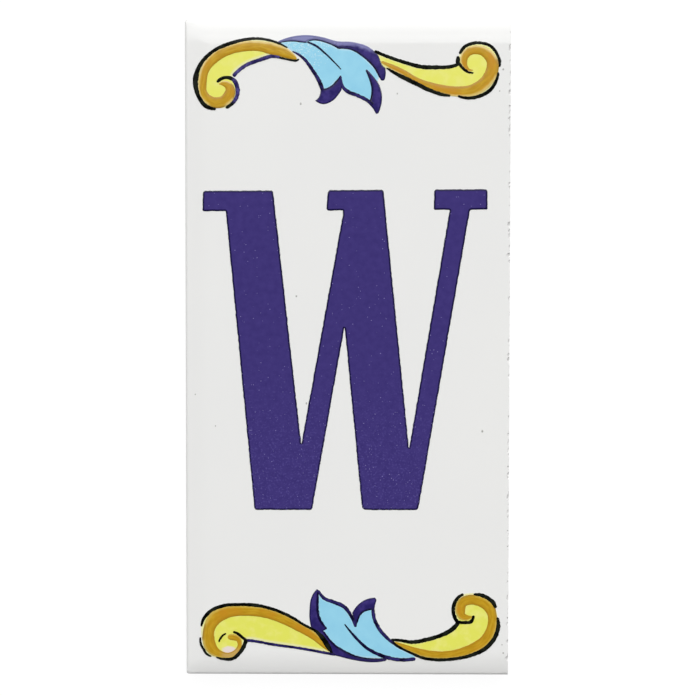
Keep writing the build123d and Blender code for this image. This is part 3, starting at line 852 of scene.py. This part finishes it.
def brush_strokes(name, strokes, lift, crown, values):
    """One mesh of all these strokes, laid on the glaze at a small lift and levelled off at a crown."""
    curve = bpy.data.curves.new(name, "CURVE")
    curve.dimensions = "3D"
    for points in strokes:
        spline = curve.splines.new("POLY")
        spline.points.add(len(points) - 1)
        for spot, (x, y, half_width) in zip(spline.points, points):
            spot.co = (x, y, 0, 1)
            spot.radius = half_width
    mesh = grow(name, *brush, {"Spacing": BRUSH_STEP, **values}, curve)
    for vert in mesh.vertices:
        vert.co.z = min(vert.co.z, crown) + ground(vert.co.x, vert.co.y) + lift
    mesh.shade_smooth()
    return mesh


def border_strokes(strokes):
    """Strokes of both borders as smooth runs, in metres."""
    runs = []
    for end in strokes:
        shift = np.array([*BORDER_MIDDLES[end], 0])
        runs += [(smooth_run(points, STROKE_SPACING) + shift) * MM for points in strokes[end]]
    return runs


def ochre_finish():
    """Ochre with streaks along the stroke, orange in places, dark inside, feathered at its outer edge."""
    material, tree, shader, place = start_finish("ochre enamel")
    across = attribute(tree, "across")
    drawn_out = sum_of(tree, "MULTIPLY", attribute(tree, "along"), 0.25)
    hairs = sum_of(tree, "MULTIPLY", across, 1.5 * MM)
    strand = put(tree, "ShaderNodeCombineXYZ", {"X": drawn_out, "Y": hairs}).outputs[0]
    streak = cloud(tree, strand, 0.6 * MM, 3.0)
    body = tint(tree, fade(tree, streak, 0.3, 0.7), paint(182, 139, 28), paint(200, 160, 40))
    orange = fade(tree, cloud(tree, place, 5 * MM, 3.0), 0.48, 0.68)
    body = tint(tree, orange, body, paint(195, 140, 34))
    ragged = sum_of(tree, "MULTIPLY_ADD", streak, 0.4, across)
    # Paler and tan round a spot in the lower left coil.
    thin = fade(tree, distance_of(tree, place, TAN_EYE), 3.0 * MM, 1.2 * MM)
    body = tint(tree, thin, body, paint(200, 164, 92))
    inner = fade(tree, across, -0.3, -0.85)
    body = tint(tree, sum_of(tree, "MULTIPLY", inner, 0.7), body, paint(172, 128, 30))
    full = 0.0
    for x, y in OUTLINE_GAPS:
        from_gap = distance_of(tree, place, (x * MM, y * MM, FACE_LEVEL))
        full = sum_of(tree, "MAXIMUM", full, fade(tree, from_gap, 2.4 * MM, 1.3 * MM))
    feather = tint(tree, towards_head(tree, place), paint(204, 178, 86), paint(224, 204, 132))
    edge_paint = tint(tree, full, feather, paint(168, 132, 50))
    edge = fade(tree, ragged, 0.6, 1.2)
    plug(tree, shader, {"Base Color": tint(tree, edge, body, edge_paint), "Roughness": 0.14})
    roughen(tree, shader, streak, 0.4, 0.02 * MM)
    return material


brush = brush_tree()
ochre = ochre_finish()
ochre_strokes = border_strokes(OCHRE_STROKES)
ochre_brush = {"Rise": 0.03, "Wobble": 0.15, "Wobble length": 1.2 * MM, "Tremble": 0.0, "Material": ochre}
ochre_mesh = brush_strokes("ochre_shading", ochre_strokes, OCHRE_LIFT, OCHRE_CROWN, ochre_brush)
add_piece("ochre_shading", ochre_mesh, ochre)


# Leaf grounds
# Sky-blue enamel flooded inside the two acanthus leaves before their folds and lines are drawn; it is thin
# enough to show freckles of the white glaze at the upper left of the top leaf.
LEAF_GROUNDS = {  # closed chains of curves, in millimetres from each border's middle
    "top": [
        [
            [(-15.3, 6.6), (-14.9, 6.9), (-12.1, 7.35), (-9.0, 7.6), (-6.3, 7.4), (-4.8, 6.9),
             (-1.9, 5.6), (1.0, 5.3), (2.4, 4.7), (5.2, 2.2), (6.5, 0.8), (7.2, -0.8), (6.9, -1.8),
             (6.6, -4.5), (5.4, -6.5)],
            [(5.4, -6.5), (2.5, -5.4), (0.2, -4.3), (-1.2, -3.2), (-1.6, -2.5), (-2.5, -2.0), (-3.4, -3.0),
             (-5.2, -3.8), (-6.0, -2.9), (-7.5, -0.4), (-9.4, 2.6), (-10.2, 3.3), (-12.5, 4.8), (-13.8, 5.8),
             (-15.3, 6.6)],
        ],
    ],
    "bottom": [
        [
            [(-6.5, 7.1), (-5.4, 5.75), (-3.0, 4.8), (-0.7, 3.75), (0.6, 2.1), (1.3, 0.9), (1.9, -0.6)],
            [(1.9, -0.6), (2.3, 1.0), (3.5, 2.7), (5.9, 3.8)],
            [(5.9, 3.8), (6.1, 1.9), (7.1, -0.8), (9.1, -3.2), (11.4, -5.2), (14.0, -6.6), (15.7, -7.5),
             (15.5, -8.2)],
            [(15.5, -8.2), (11.5, -8.3), (7.0, -8.1), (3.0, -7.95), (-0.2, -7.1), (-5.4, -2.0), (-6.8, 3.0),
             (-6.5, 7.1)],
        ],
    ],
}


def leaf_finish():
    """Sky blue, cloudy, with white freckles on the upper left of the top leaf."""
    material, tree, shader, place = start_finish("sky enamel")
    body = tint(tree, cloud(tree, place, 2.5 * MM, 4.0), paint(138, 202, 230), paint(158, 217, 238))
    thin = fade(tree, attribute(tree, "rim"), 0.2, 0.6)
    body = tint(tree, thin, paint(176, 218, 238), body)
    upper_left = sum_of(tree, "SUBTRACT", axis_of(tree, place, "Y"), axis_of(tree, place, "X"))
    share = sum_of(tree, "MULTIPLY", fade(tree, upper_left, 68 * MM, 80 * MM), 1.1)
    dots = sum_of(tree, "MULTIPLY", freckles(tree, place, 0.24 * MM, 0.135 * MM, share), 0.85)
    plug(tree, shader, {"Base Color": tint(tree, dots, body, paint(208, 232, 242)), "Roughness": 0.12})
    roughen(tree, shader, cloud(tree, place, 1.2 * MM), 0.4, 0.015 * MM)
    return material


leaf_outlines = border_outlines(LEAF_GROUNDS)
leaf_mesh = enamel_pool("leaf_grounds", leaf_outlines, GROUND_THICKNESS, GROUND_SOFT_EDGE)
add_piece("leaf_grounds", leaf_mesh, leaf_finish())


# Leaf folds
# Dark blue enamel where the leaves turn over, filled in with a full brush over the sky blue; it stands
# nearly as high as the letter, and thins to a pale wash along the upper edge of the top leaf.
LEAF_FOLDS = {  # closed chains of curves, in millimetres from each border's middle
    "top": [
        [
            [(-15.7, 7.1), (-13.3, 8.0), (-9.2, 8.5), (-5.5, 8.0), (-2.5, 7.15), (1.4, 6.9), (4.9, 5.75),
             (7.1, 3.8)],
            [(7.1, 3.8), (7.5, 2.7), (7.85, 1.85), (8.6, 1.15)],
            [(8.6, 1.15), (8.7, 0.2), (8.5, -1.4)],
            [(8.5, -1.4), (8.2, -1.75), (7.75, -1.75), (7.4, -1.4)],
            [(7.4, -1.4), (6.3, 0.9), (3.7, 3.5), (1.0, 5.15), (-1.9, 5.45)],
            [(-1.9, 5.45), (-4.8, 6.9), (-7.6, 7.45), (-8.9, 7.2)],
            [(-8.9, 7.2), (-9.4, 6.9), (-10.6, 7.0), (-12.6, 7.2), (-15.6, 6.6)],
            [(-15.6, 6.6), (-15.7, 7.1)],
        ],
        [
            [(-6.1, -3.3), (-6.15, -4.4), (-6.5, -5.5), (-7.35, -6.3)],
            [(-7.35, -6.3), (-5.6, -7.1), (-3.3, -6.3), (-1.9, -4.75), (-1.35, -3.9)],
            [(-1.35, -3.9), (-1.2, -2.2), (-1.4, -0.6)],
            [(-1.4, -0.6), (-1.6, -0.6), (-2.3, -1.7), (-3.5, -3.0), (-5.2, -3.75)],
            [(-5.2, -3.75), (-6.1, -3.3)],
        ],
        [
            [(4.45, 0.75), (5.9, -0.8), (7.2, -2.7), (7.85, -5.2), (7.5, -7.9), (7.05, -9.1)],
            [(7.05, -9.1), (6.75, -9.3), (5.8, -8.1), (4.9, -7.1)],
            [(4.9, -7.1), (5.5, -5.3), (5.6, -3.4), (5.1, -1.6), (4.1, 0.4)],
            [(4.1, 0.4), (4.15, 0.7), (4.45, 0.75)],
        ],
    ],
    "bottom": [
        [
            [(-6.9, 7.85), (-7.65, 7.0), (-8.25, 5.7), (-8.6, 3.0), (-8.6, 1.0), (-8.1, -1.4)],
            [(-8.1, -1.4), (-6.3, -2.9), (-3.7, -6.5)],
            [(-3.7, -6.5), (-3.0, -7.35), (-1.7, -7.75), (3.2, -8.85), (6.0, -9.1), (8.7, -8.8)],
            [(8.7, -8.8), (9.15, -8.5), (8.9, -8.15)],
            [(8.9, -8.15), (6.0, -8.3), (3.3, -8.05), (-0.3, -6.7), (-3.4, -4.55), (-5.4, -1.8)],
            [(-5.4, -1.8), (-4.5, -1.35)],
            [(-4.5, -1.35), (-6.3, 1.0), (-6.75, 3.6), (-6.6, 6.4)],
            [(-6.6, 6.4), (-6.25, 7.3), (-6.9, 7.85)],
        ],
        [
            [(1.2, 2.35), (2.6, 4.35), (4.6, 5.6), (6.4, 5.95)],
            [(6.4, 5.95), (6.75, 5.5), (6.5, 4.4), (6.3, 3.2)],
            [(6.3, 3.2), (5.3, 3.2), (3.3, 2.3), (2.3, 0.2), (1.9, -1.0)],
            [(1.9, -1.0), (1.6, 0.6), (1.2, 2.35)],
        ],
    ],
}
FOLD_THICKNESS = 0.08 * MM
FOLD_SOFT_EDGE = 0.1 * MM


def fold_finish():
    """Dark blue enamel, violet where it is thin, nearly black at its rim, a pale wash on the top leaf."""
    material, tree, shader, place = start_finish("dark blue enamel")
    thin = fade(tree, cloud(tree, place, 1.6 * MM, 4.0), 0.35, 0.7)
    body = tint(tree, thin, paint(42, 34, 96), paint(64, 53, 122))
    axes = put(tree, "ShaderNodeSeparateXYZ", {0: place}).outputs
    slant = sum_of(tree, "MULTIPLY_ADD", axes["X"], 0.38, -0.72 * MM)
    height = sum_of(tree, "ADD", axes["Y"], sum_of(tree, "MAXIMUM", slant, 0.0))
    uneven = sum_of(tree, "MULTIPLY_ADD", cloud(tree, place, 1.2 * MM), 0.8 * MM, height)
    short_of_tip = fade(tree, axes["X"], 6.8 * MM, 5.4 * MM)
    washed = sum_of(tree, "MULTIPLY", fade(tree, uneven, 68.9 * MM, 69.9 * MM), short_of_tip)
    wash = tint(tree, fade(tree, axes["X"], -7 * MM, -1 * MM), paint(112, 114, 166), paint(130, 129, 180))
    body = tint(tree, washed, body, wash)
    gathered = fade(tree, attribute(tree, "rim"), 0.18, 0.42)
    open_rim = sum_of(tree, "MAXIMUM", gathered, sum_of(tree, "MULTIPLY", washed, 0.7))
    plug(tree, shader, {"Base Color": tint(tree, open_rim, paint(30, 23, 74), body), "Roughness": 0.09})
    roughen(tree, shader, cloud(tree, place, 0.8 * MM), 0.3, 0.008 * MM)
    return material


fold_mesh = enamel_pool("leaf_folds", border_outlines(LEAF_FOLDS), FOLD_THICKNESS, FOLD_SOFT_EDGE)
add_piece("leaf_folds", fold_mesh, fold_finish())


# Drawn lines
# The outlines, drawn with a fine brush over the filled colours, each a thin bead of enamel: black round the
# scrolls, violet at the upper left one, ink blue in the veins and along the folds of the leaves, blue-black
# round the leaves and under the lower left scroll.
BLACK_LINES = {  # (x, y, half width) in millimetres from each border's middle
    "top": [
        [(-13.6, 5.6, 0.16), (-16.0, 6.8, 0.26), (-20.5, 7.7, 0.30), (-26.0, 6.8, 0.42),
         (-30.8, 4.6, 0.42), (-33.4, 1.8, 0.46), (-34.5, -1.5, 0.60), (-33.8, -5.3, 0.46),
         (-31.9, -7.7, 0.47), (-29.8, -8.15, 0.28)],
        [(-27.65, -7.9, 0.30), (-26.5, -7.3, 0.38), (-25.6, -6.35, 0.40)],
        [(-25.8, -1.65, 0.44), (-26.5, -1.2, 0.45), (-27.6, -1.1, 0.37), (-28.7, -1.4, 0.38),
         (-29.6, -2.2, 0.33)],
        [(-15.7, 3.5, 0.25), (-14.6, 3.2, 0.22), (-12.8, 2.85, 0.22), (-11.6, 2.75, 0.27),
         (-10.95, 3.05, 0.18)],
        [(6.05, 4.9, 0.34), (9.6, 3.45, 0.38), (12.6, 2.45, 0.40), (16.9, 1.35, 0.47), (20.3, 1.25, 0.45),
         (23.6, 1.45, 0.42), (25.3, 2.05, 0.36)],
        [(25.0, 1.9, 0.44), (25.0, 2.8, 0.46), (25.15, 3.8, 0.36)],
        [(25.2, 2.3, 0.32), (26.0, 1.2, 0.33), (27.0, 0.35, 0.29), (28.6, -0.05, 0.22)],
        [(25.4, 4.2, 0.30), (26.5, 5.85, 0.38), (28.3, 6.65, 0.38), (30.2, 6.75, 0.34), (32.4, 6.05, 0.36),
         (33.9, 4.2, 0.34), (34.5, 2.4, 0.30), (34.4, 1.3, 0.20)],
        [(8.8, 1.1, 0.16), (11.4, -0.4, 0.43), (14.9, -2.1, 0.49), (18.7, -3.95, 0.45), (21.5, -4.9, 0.40),
         (23.4, -5.15, 0.24)],
        [(25.0, -5.2, 0.24), (27.2, -5.7, 0.36), (29.8, -5.3, 0.40), (32.1, -4.1, 0.42), (33.6, -2.05, 0.38),
         (34.2, 0.2, 0.22)],
    ],
    "bottom": [
        [(-3.3, -7.15, 0.18), (-4.1, -5.75, 0.54), (-5.5, -3.55, 0.58), (-7.0, -1.95, 0.36),
         (-9.5, -0.6, 0.29), (-12.9, 1.45, 0.36), (-16.8, 3.15, 0.36), (-20.6, 4.05, 0.41),
         (-25.0, 4.25, 0.38), (-28.3, 4.0, 0.41), (-31.5, 2.6, 0.39), (-33.05, 0.65, 0.36),
         (-33.45, -0.9, 0.20)],
        [(-33.7, -3.3, 0.16), (-33.65, -4.6, 0.27), (-33.0, -6.05, 0.28), (-32.0, -7.4, 0.27),
         (-31.1, -7.75, 0.16)],
        [(-30.1, -7.95, 0.17), (-28.2, -8.4, 0.33), (-26.4, -8.35, 0.38), (-24.75, -7.05, 0.42),
         (-23.6, -5.25, 0.46), (-23.1, -3.8, 0.42)],
        [(-23.0, -4.2, 0.38), (-24.5, -2.95, 0.32), (-25.3, -2.35, 0.32), (-26.2, -2.05, 0.22)],
        [(-27.7, -2.4, 0.19), (-28.8, -3.2, 0.24), (-29.4, -4.5, 0.20)],
        [(10.1, -3.8, 0.28), (12.2, -3.95, 0.34), (14.9, -4.35, 0.44), (18.3, -3.75, 0.48),
         (21.5, -2.8, 0.47), (24.35, -1.2, 0.54), (25.6, 0.3, 0.48)],
        [(25.7, 0.0, 0.42), (24.5, 2.1, 0.43), (24.5, 4.2, 0.41), (25.5, 6.0, 0.38), (26.8, 6.8, 0.28)],
        [(25.4, 0.4, 0.36), (27.2, 0.2, 0.38), (28.4, 0.4, 0.40), (28.95, 1.2, 0.37), (29.0, 1.9, 0.28)],
        [(29.0, 6.75, 0.23), (31.0, 6.5, 0.45), (32.85, 5.5, 0.46), (33.85, 4.4, 0.48), (34.05, 3.5, 0.34)],
        [(34.5, 1.5, 0.23), (34.75, -0.5, 0.47), (33.9, -3.3, 0.48), (31.85, -5.7, 0.50), (28.4, -7.4, 0.42),
         (24.0, -8.3, 0.37), (20.0, -8.4, 0.38), (17.1, -7.9, 0.34), (15.4, -7.15, 0.32), (14.0, -6.5, 0.26),
         (11.45, -5.15, 0.32), (10.2, -4.1, 0.30)],
    ],
}
VIOLET_LINES = {
    "top": [
        [(-26.3, -7.1, 0.38), (-25.5, -6.2, 0.42), (-24.95, -4.8, 0.46), (-25.05, -3.1, 0.50),
         (-25.7, -1.75, 0.48), (-26.3, -1.25, 0.44)],
        [(-25.95, -0.85, 0.42), (-23.35, 1.5, 0.41), (-20.0, 2.85, 0.44), (-16.8, 3.7, 0.38),
         (-15.2, 3.4, 0.24)],
    ],
}
INK_LINES = {
    "top": [
        [(-15.4, 6.8, 0.10), (-12.6, 7.15, 0.13), (-10.6, 6.98, 0.14), (-9.2, 6.85, 0.16)],
        [(-8.9, 7.15, 0.10), (-7.6, 7.4, 0.13), (-4.8, 6.85, 0.16), (-1.9, 5.45, 0.18)],
        [(-2.0, 5.5, 0.16), (1.0, 5.2, 0.16), (3.7, 3.55, 0.18), (6.3, 0.95, 0.20), (7.3, -1.1, 0.14)],
        [(-2.1, 6.0, 0.10), (-0.2, 5.95, 0.14), (1.8, 5.6, 0.10)],
        [(-9.2, 6.95, 0.20), (-7.3, 6.15, 0.25), (-4.9, 4.25, 0.20), (-3.15, 2.55, 0.17), (-1.4, 0.7, 0.12)],
        [(-5.9, -3.5, 0.14), (-5.2, -3.7, 0.17), (-3.5, -2.95, 0.18), (-2.3, -1.7, 0.18),
         (-1.5, -0.75, 0.18)],
        [(4.25, 0.6, 0.20), (5.1, -1.55, 0.18), (5.6, -3.4, 0.20), (5.5, -5.3, 0.20), (4.95, -6.9, 0.18)],
    ],
    "bottom": [
        [(-6.75, 7.3, 0.16), (-6.7, 5.5, 0.26), (-6.75, 3.6, 0.28), (-6.3, 1.0, 0.28), (-5.3, -0.5, 0.22),
         (-4.6, -1.3, 0.12)],
        [(-5.3, -1.9, 0.16), (-3.4, -4.5, 0.22), (-0.3, -6.65, 0.20), (3.3, -7.95, 0.17), (6.0, -8.25, 0.13),
         (8.7, -8.15, 0.10)],
        [(-0.55, -0.2, 0.14), (0.7, -1.8, 0.24), (2.7, -4.05, 0.32), (4.6, -5.75, 0.36), (6.7, -6.95, 0.38),
         (8.9, -7.75, 0.26)],
        [(6.1, 3.2, 0.16), (5.3, 3.2, 0.18), (3.3, 2.3, 0.18), (2.3, 0.2, 0.18), (1.95, -0.9, 0.16)],
    ],
}
BLUE_LINES = {
    "top": [
        [(-12.5, 4.8, 0.14), (-9.95, 3.25, 0.32), (-8.25, 1.05, 0.38), (-6.7, -1.35, 0.44),
         (-5.8, -3.4, 0.46), (-5.6, -4.1, 0.40)],
        [(-1.45, -0.8, 0.18), (-1.35, -2.3, 0.28), (-0.9, -3.4, 0.38), (0.2, -4.3, 0.43), (2.5, -5.2, 0.42),
         (4.9, -6.5, 0.42), (5.85, -7.3, 0.42)],
    ],
    "bottom": [
        [(-23.1, -4.0, 0.38), (-20.6, -4.3, 0.31), (-16.8, -5.0, 0.32), (-12.0, -5.65, 0.31),
         (-7.2, -6.45, 0.31), (-2.6, -7.35, 0.30)],
        [(-6.6, 7.6, 0.26), (-5.35, 5.85, 0.37), (-2.95, 4.85, 0.44), (-0.65, 3.8, 0.44), (0.7, 2.15, 0.40),
         (1.55, 0.4, 0.32), (1.95, -0.9, 0.22)],
        [(6.0, 3.4, 0.38), (6.1, 1.9, 0.41), (7.1, -0.8, 0.42), (9.1, -3.25, 0.40), (10.9, -4.8, 0.30)],
        [(6.7, -6.95, 0.36), (9.2, -7.9, 0.45), (12.1, -8.45, 0.42), (14.3, -8.4, 0.42), (15.8, -8.2, 0.42)],
    ],
}
LINE_LIFT = 0.05 * MM
LINE_CROWN = 0.035 * MM


def line_finish(name, pale, deep, gloss):
    """Enamel from a fine brush, lighter where the brush ran dry, dark where it gathered at the edges."""
    material, tree, shader, place = start_finish(name)
    dry = fade(tree, cloud(tree, place, 1.6 * MM, 4.0), 0.35, 0.65)
    gathered = fade(tree, sum_of(tree, "ABSOLUTE", attribute(tree, "across")), 0.9, 0.5)
    body = tint(tree, sum_of(tree, "MULTIPLY", dry, gathered), deep, pale)
    plug(tree, shader, {"Base Color": body, "Specular IOR Level": gloss, "Roughness": 0.09})
    roughen(tree, shader, cloud(tree, place, 0.5 * MM), 0.3, 0.005 * MM)
    return material


line_black = line_finish("black enamel", paint(30, 34, 27), paint(4, 6, 4), 0.15)
line_ink = line_finish("ink-blue enamel", paint(26, 20, 66), paint(10, 8, 36), 0.3)
line_violet = line_finish("violet enamel", paint(90, 82, 148), paint(34, 28, 78), 0.4)
line_blue = line_finish("blue-black enamel", paint(50, 43, 104), paint(14, 11, 44), 0.4)
fine_brush = {"Rise": 0.3, "Wobble": 0.5, "Wobble length": 0.55 * MM, "Tremble": 0.14 * MM}
for name, lines, material, slot in (
    ("black_lines", BLACK_LINES, line_black, "black_enamel"),
    ("ink_lines", INK_LINES, line_ink, "blue_enamel"),
    ("violet_lines", VIOLET_LINES, line_violet, "blue_enamel"),
    ("blue_lines", BLUE_LINES, line_blue, "blue_enamel"),
):
    values = fine_brush | {"Material": material}
    line_mesh = brush_strokes(name, border_strokes(lines), LINE_LIFT, LINE_CROWN, values)
    add_piece(name, line_mesh, material)


# Stage
# A pale floor under the tile, bright walls under a dark ceiling, two wide soft lamps beyond the tile's head
# and a camera almost straight above it.
FLOOR_REACH = 6.0
FLOOR_DROP = -0.1 * MM
WALL_LEVELS = [  # (height of a direction, brightness)
    (0.0, 0.98), (0.35, 1.29), (0.6, 1.96), (0.85, 1.64), (0.95, 0.04),
]
LAMP_HEIGHT = 2.4
LAMP_WIDTH = 4.8
LAMPS = [  # (name, distance beyond the tile, length, brightness)
    ("head light", 2.575, 3.65, 1.03), ("near strip", 0.5, 0.5, 2.0),
]
CAMERA_PLACE = (0.00584, 0.03617, 0.6)
CAMERA_TURNS = (-3.452, 0.55, 0.0585)  # degrees
CAMERA_LENS = 134.7
CAMERA_SENSOR = 36.0


def pale_floor():
    """White to the camera and in reflections, with the tile's shadow kept as a soft grey."""
    material = bpy.data.materials.new("pale floor")
    material.use_nodes = True
    tree = material.node_tree
    tree.nodes.clear()
    rays = tree.nodes.new("ShaderNodeLightPath").outputs
    direct = sum_of(tree, "MAXIMUM", rays["Is Camera Ray"], rays["Is Glossy Ray"])
    seen = sum_of(tree, "MAXIMUM", direct, rays["Is Transmission Ray"])
    paper = put(tree, "ShaderNodeBsdfDiffuse", {"Color": (0.5, 0.5, 0.5, 1)})
    shadowed = put(tree, "ShaderNodeBsdfDiffuse", {"Color": (0.09, 0.09, 0.09, 1)})
    glow = put(tree, "ShaderNodeEmission", {"Color": (1, 1, 1, 1), "Strength": 0.94})
    lifted = put(tree, "ShaderNodeAddShader", {0: shadowed.outputs[0], 1: glow.outputs[0]})
    mixed = put(tree, "ShaderNodeMixShader", {0: seen, 1: paper.outputs[0], 2: lifted.outputs[0]})
    put(tree, "ShaderNodeOutputMaterial", {"Surface": mixed.outputs[0]})
    return material


floor_sides = [(-1, -1), (1, -1), (1, 1), (-1, 1)]
floor_corners = [(x * FLOOR_REACH, y * FLOOR_REACH, FLOOR_DROP) for x, y in floor_sides]
floor_mesh = bpy.data.meshes.new("floor")
floor_mesh.from_pydata(floor_corners, [], [(0, 1, 2, 3)])
floor_mesh.materials.append(pale_floor())
floor = bpy.data.objects.new("floor", floor_mesh)
bpy.context.scene.collection.objects.link(floor)

world = bpy.data.worlds.new("studio")
world.use_nodes = True
bpy.context.scene.world = world
sky = world.node_tree
direction = sky.nodes.new("ShaderNodeTexCoord").outputs["Generated"]
axes = put(sky, "ShaderNodeSeparateXYZ", {0: direction}).outputs
rise = put(sky, "ShaderNodeValToRGB", {"Fac": axes["Z"]})
steps = rise.color_ramp.elements
steps[0].position, steps[-1].position = WALL_LEVELS[0][0], WALL_LEVELS[-1][0]
for height, _ in WALL_LEVELS[1:-1]:
    steps.new(height)
for step, (_, level) in zip(steps, WALL_LEVELS):
    step.color = (level, level, level, 1)
dim_foot = {"Value": axes["Y"], "From Min": -0.6, "From Max": 0.6, "To Min": 0.06, "To Max": 1.06}
dim_left = {"Value": axes["X"], "From Min": -0.7, "From Max": 0.3, "To Min": 0.65, "To Max": 1.0}
foot = put(sky, "ShaderNodeMapRange", dim_foot).outputs["Result"]
left = put(sky, "ShaderNodeMapRange", dim_left).outputs["Result"]
lit = sum_of(sky, "MULTIPLY", rise.outputs["Color"], sum_of(sky, "MULTIPLY", foot, left))
straight = sky.nodes.new("ShaderNodeLightPath").outputs["Is Camera Ray"]
unseen = sum_of(sky, "SUBTRACT", 1.0, straight)
strength = sum_of(sky, "MULTIPLY_ADD", lit, unseen, straight)
plug(sky, sky.nodes["Background"].inputs, {"Color": (1, 1, 1, 1), "Strength": strength})

for name, distance, length, brightness in LAMPS:
    lamp = bpy.data.lights.new(name, "AREA")
    lamp.shape = "RECTANGLE"
    lamp.size, lamp.size_y = LAMP_WIDTH, length
    lamp.energy = brightness * math.pi * LAMP_WIDTH * length
    stand = bpy.data.objects.new(name, lamp)
    stand.location = (0, distance, LAMP_HEIGHT)
    bpy.context.scene.collection.objects.link(stand)

camera_lens = bpy.data.cameras.new("camera")
camera_lens.lens = CAMERA_LENS
camera_lens.sensor_width = CAMERA_SENSOR
camera = bpy.data.objects.new("camera", camera_lens)
camera.location = CAMERA_PLACE
camera.rotation_euler = [math.radians(turn) for turn in CAMERA_TURNS]
bpy.context.scene.collection.objects.link(camera)
bpy.context.scene.camera = camera
bpy.context.scene.view_settings.view_transform = "Standard"
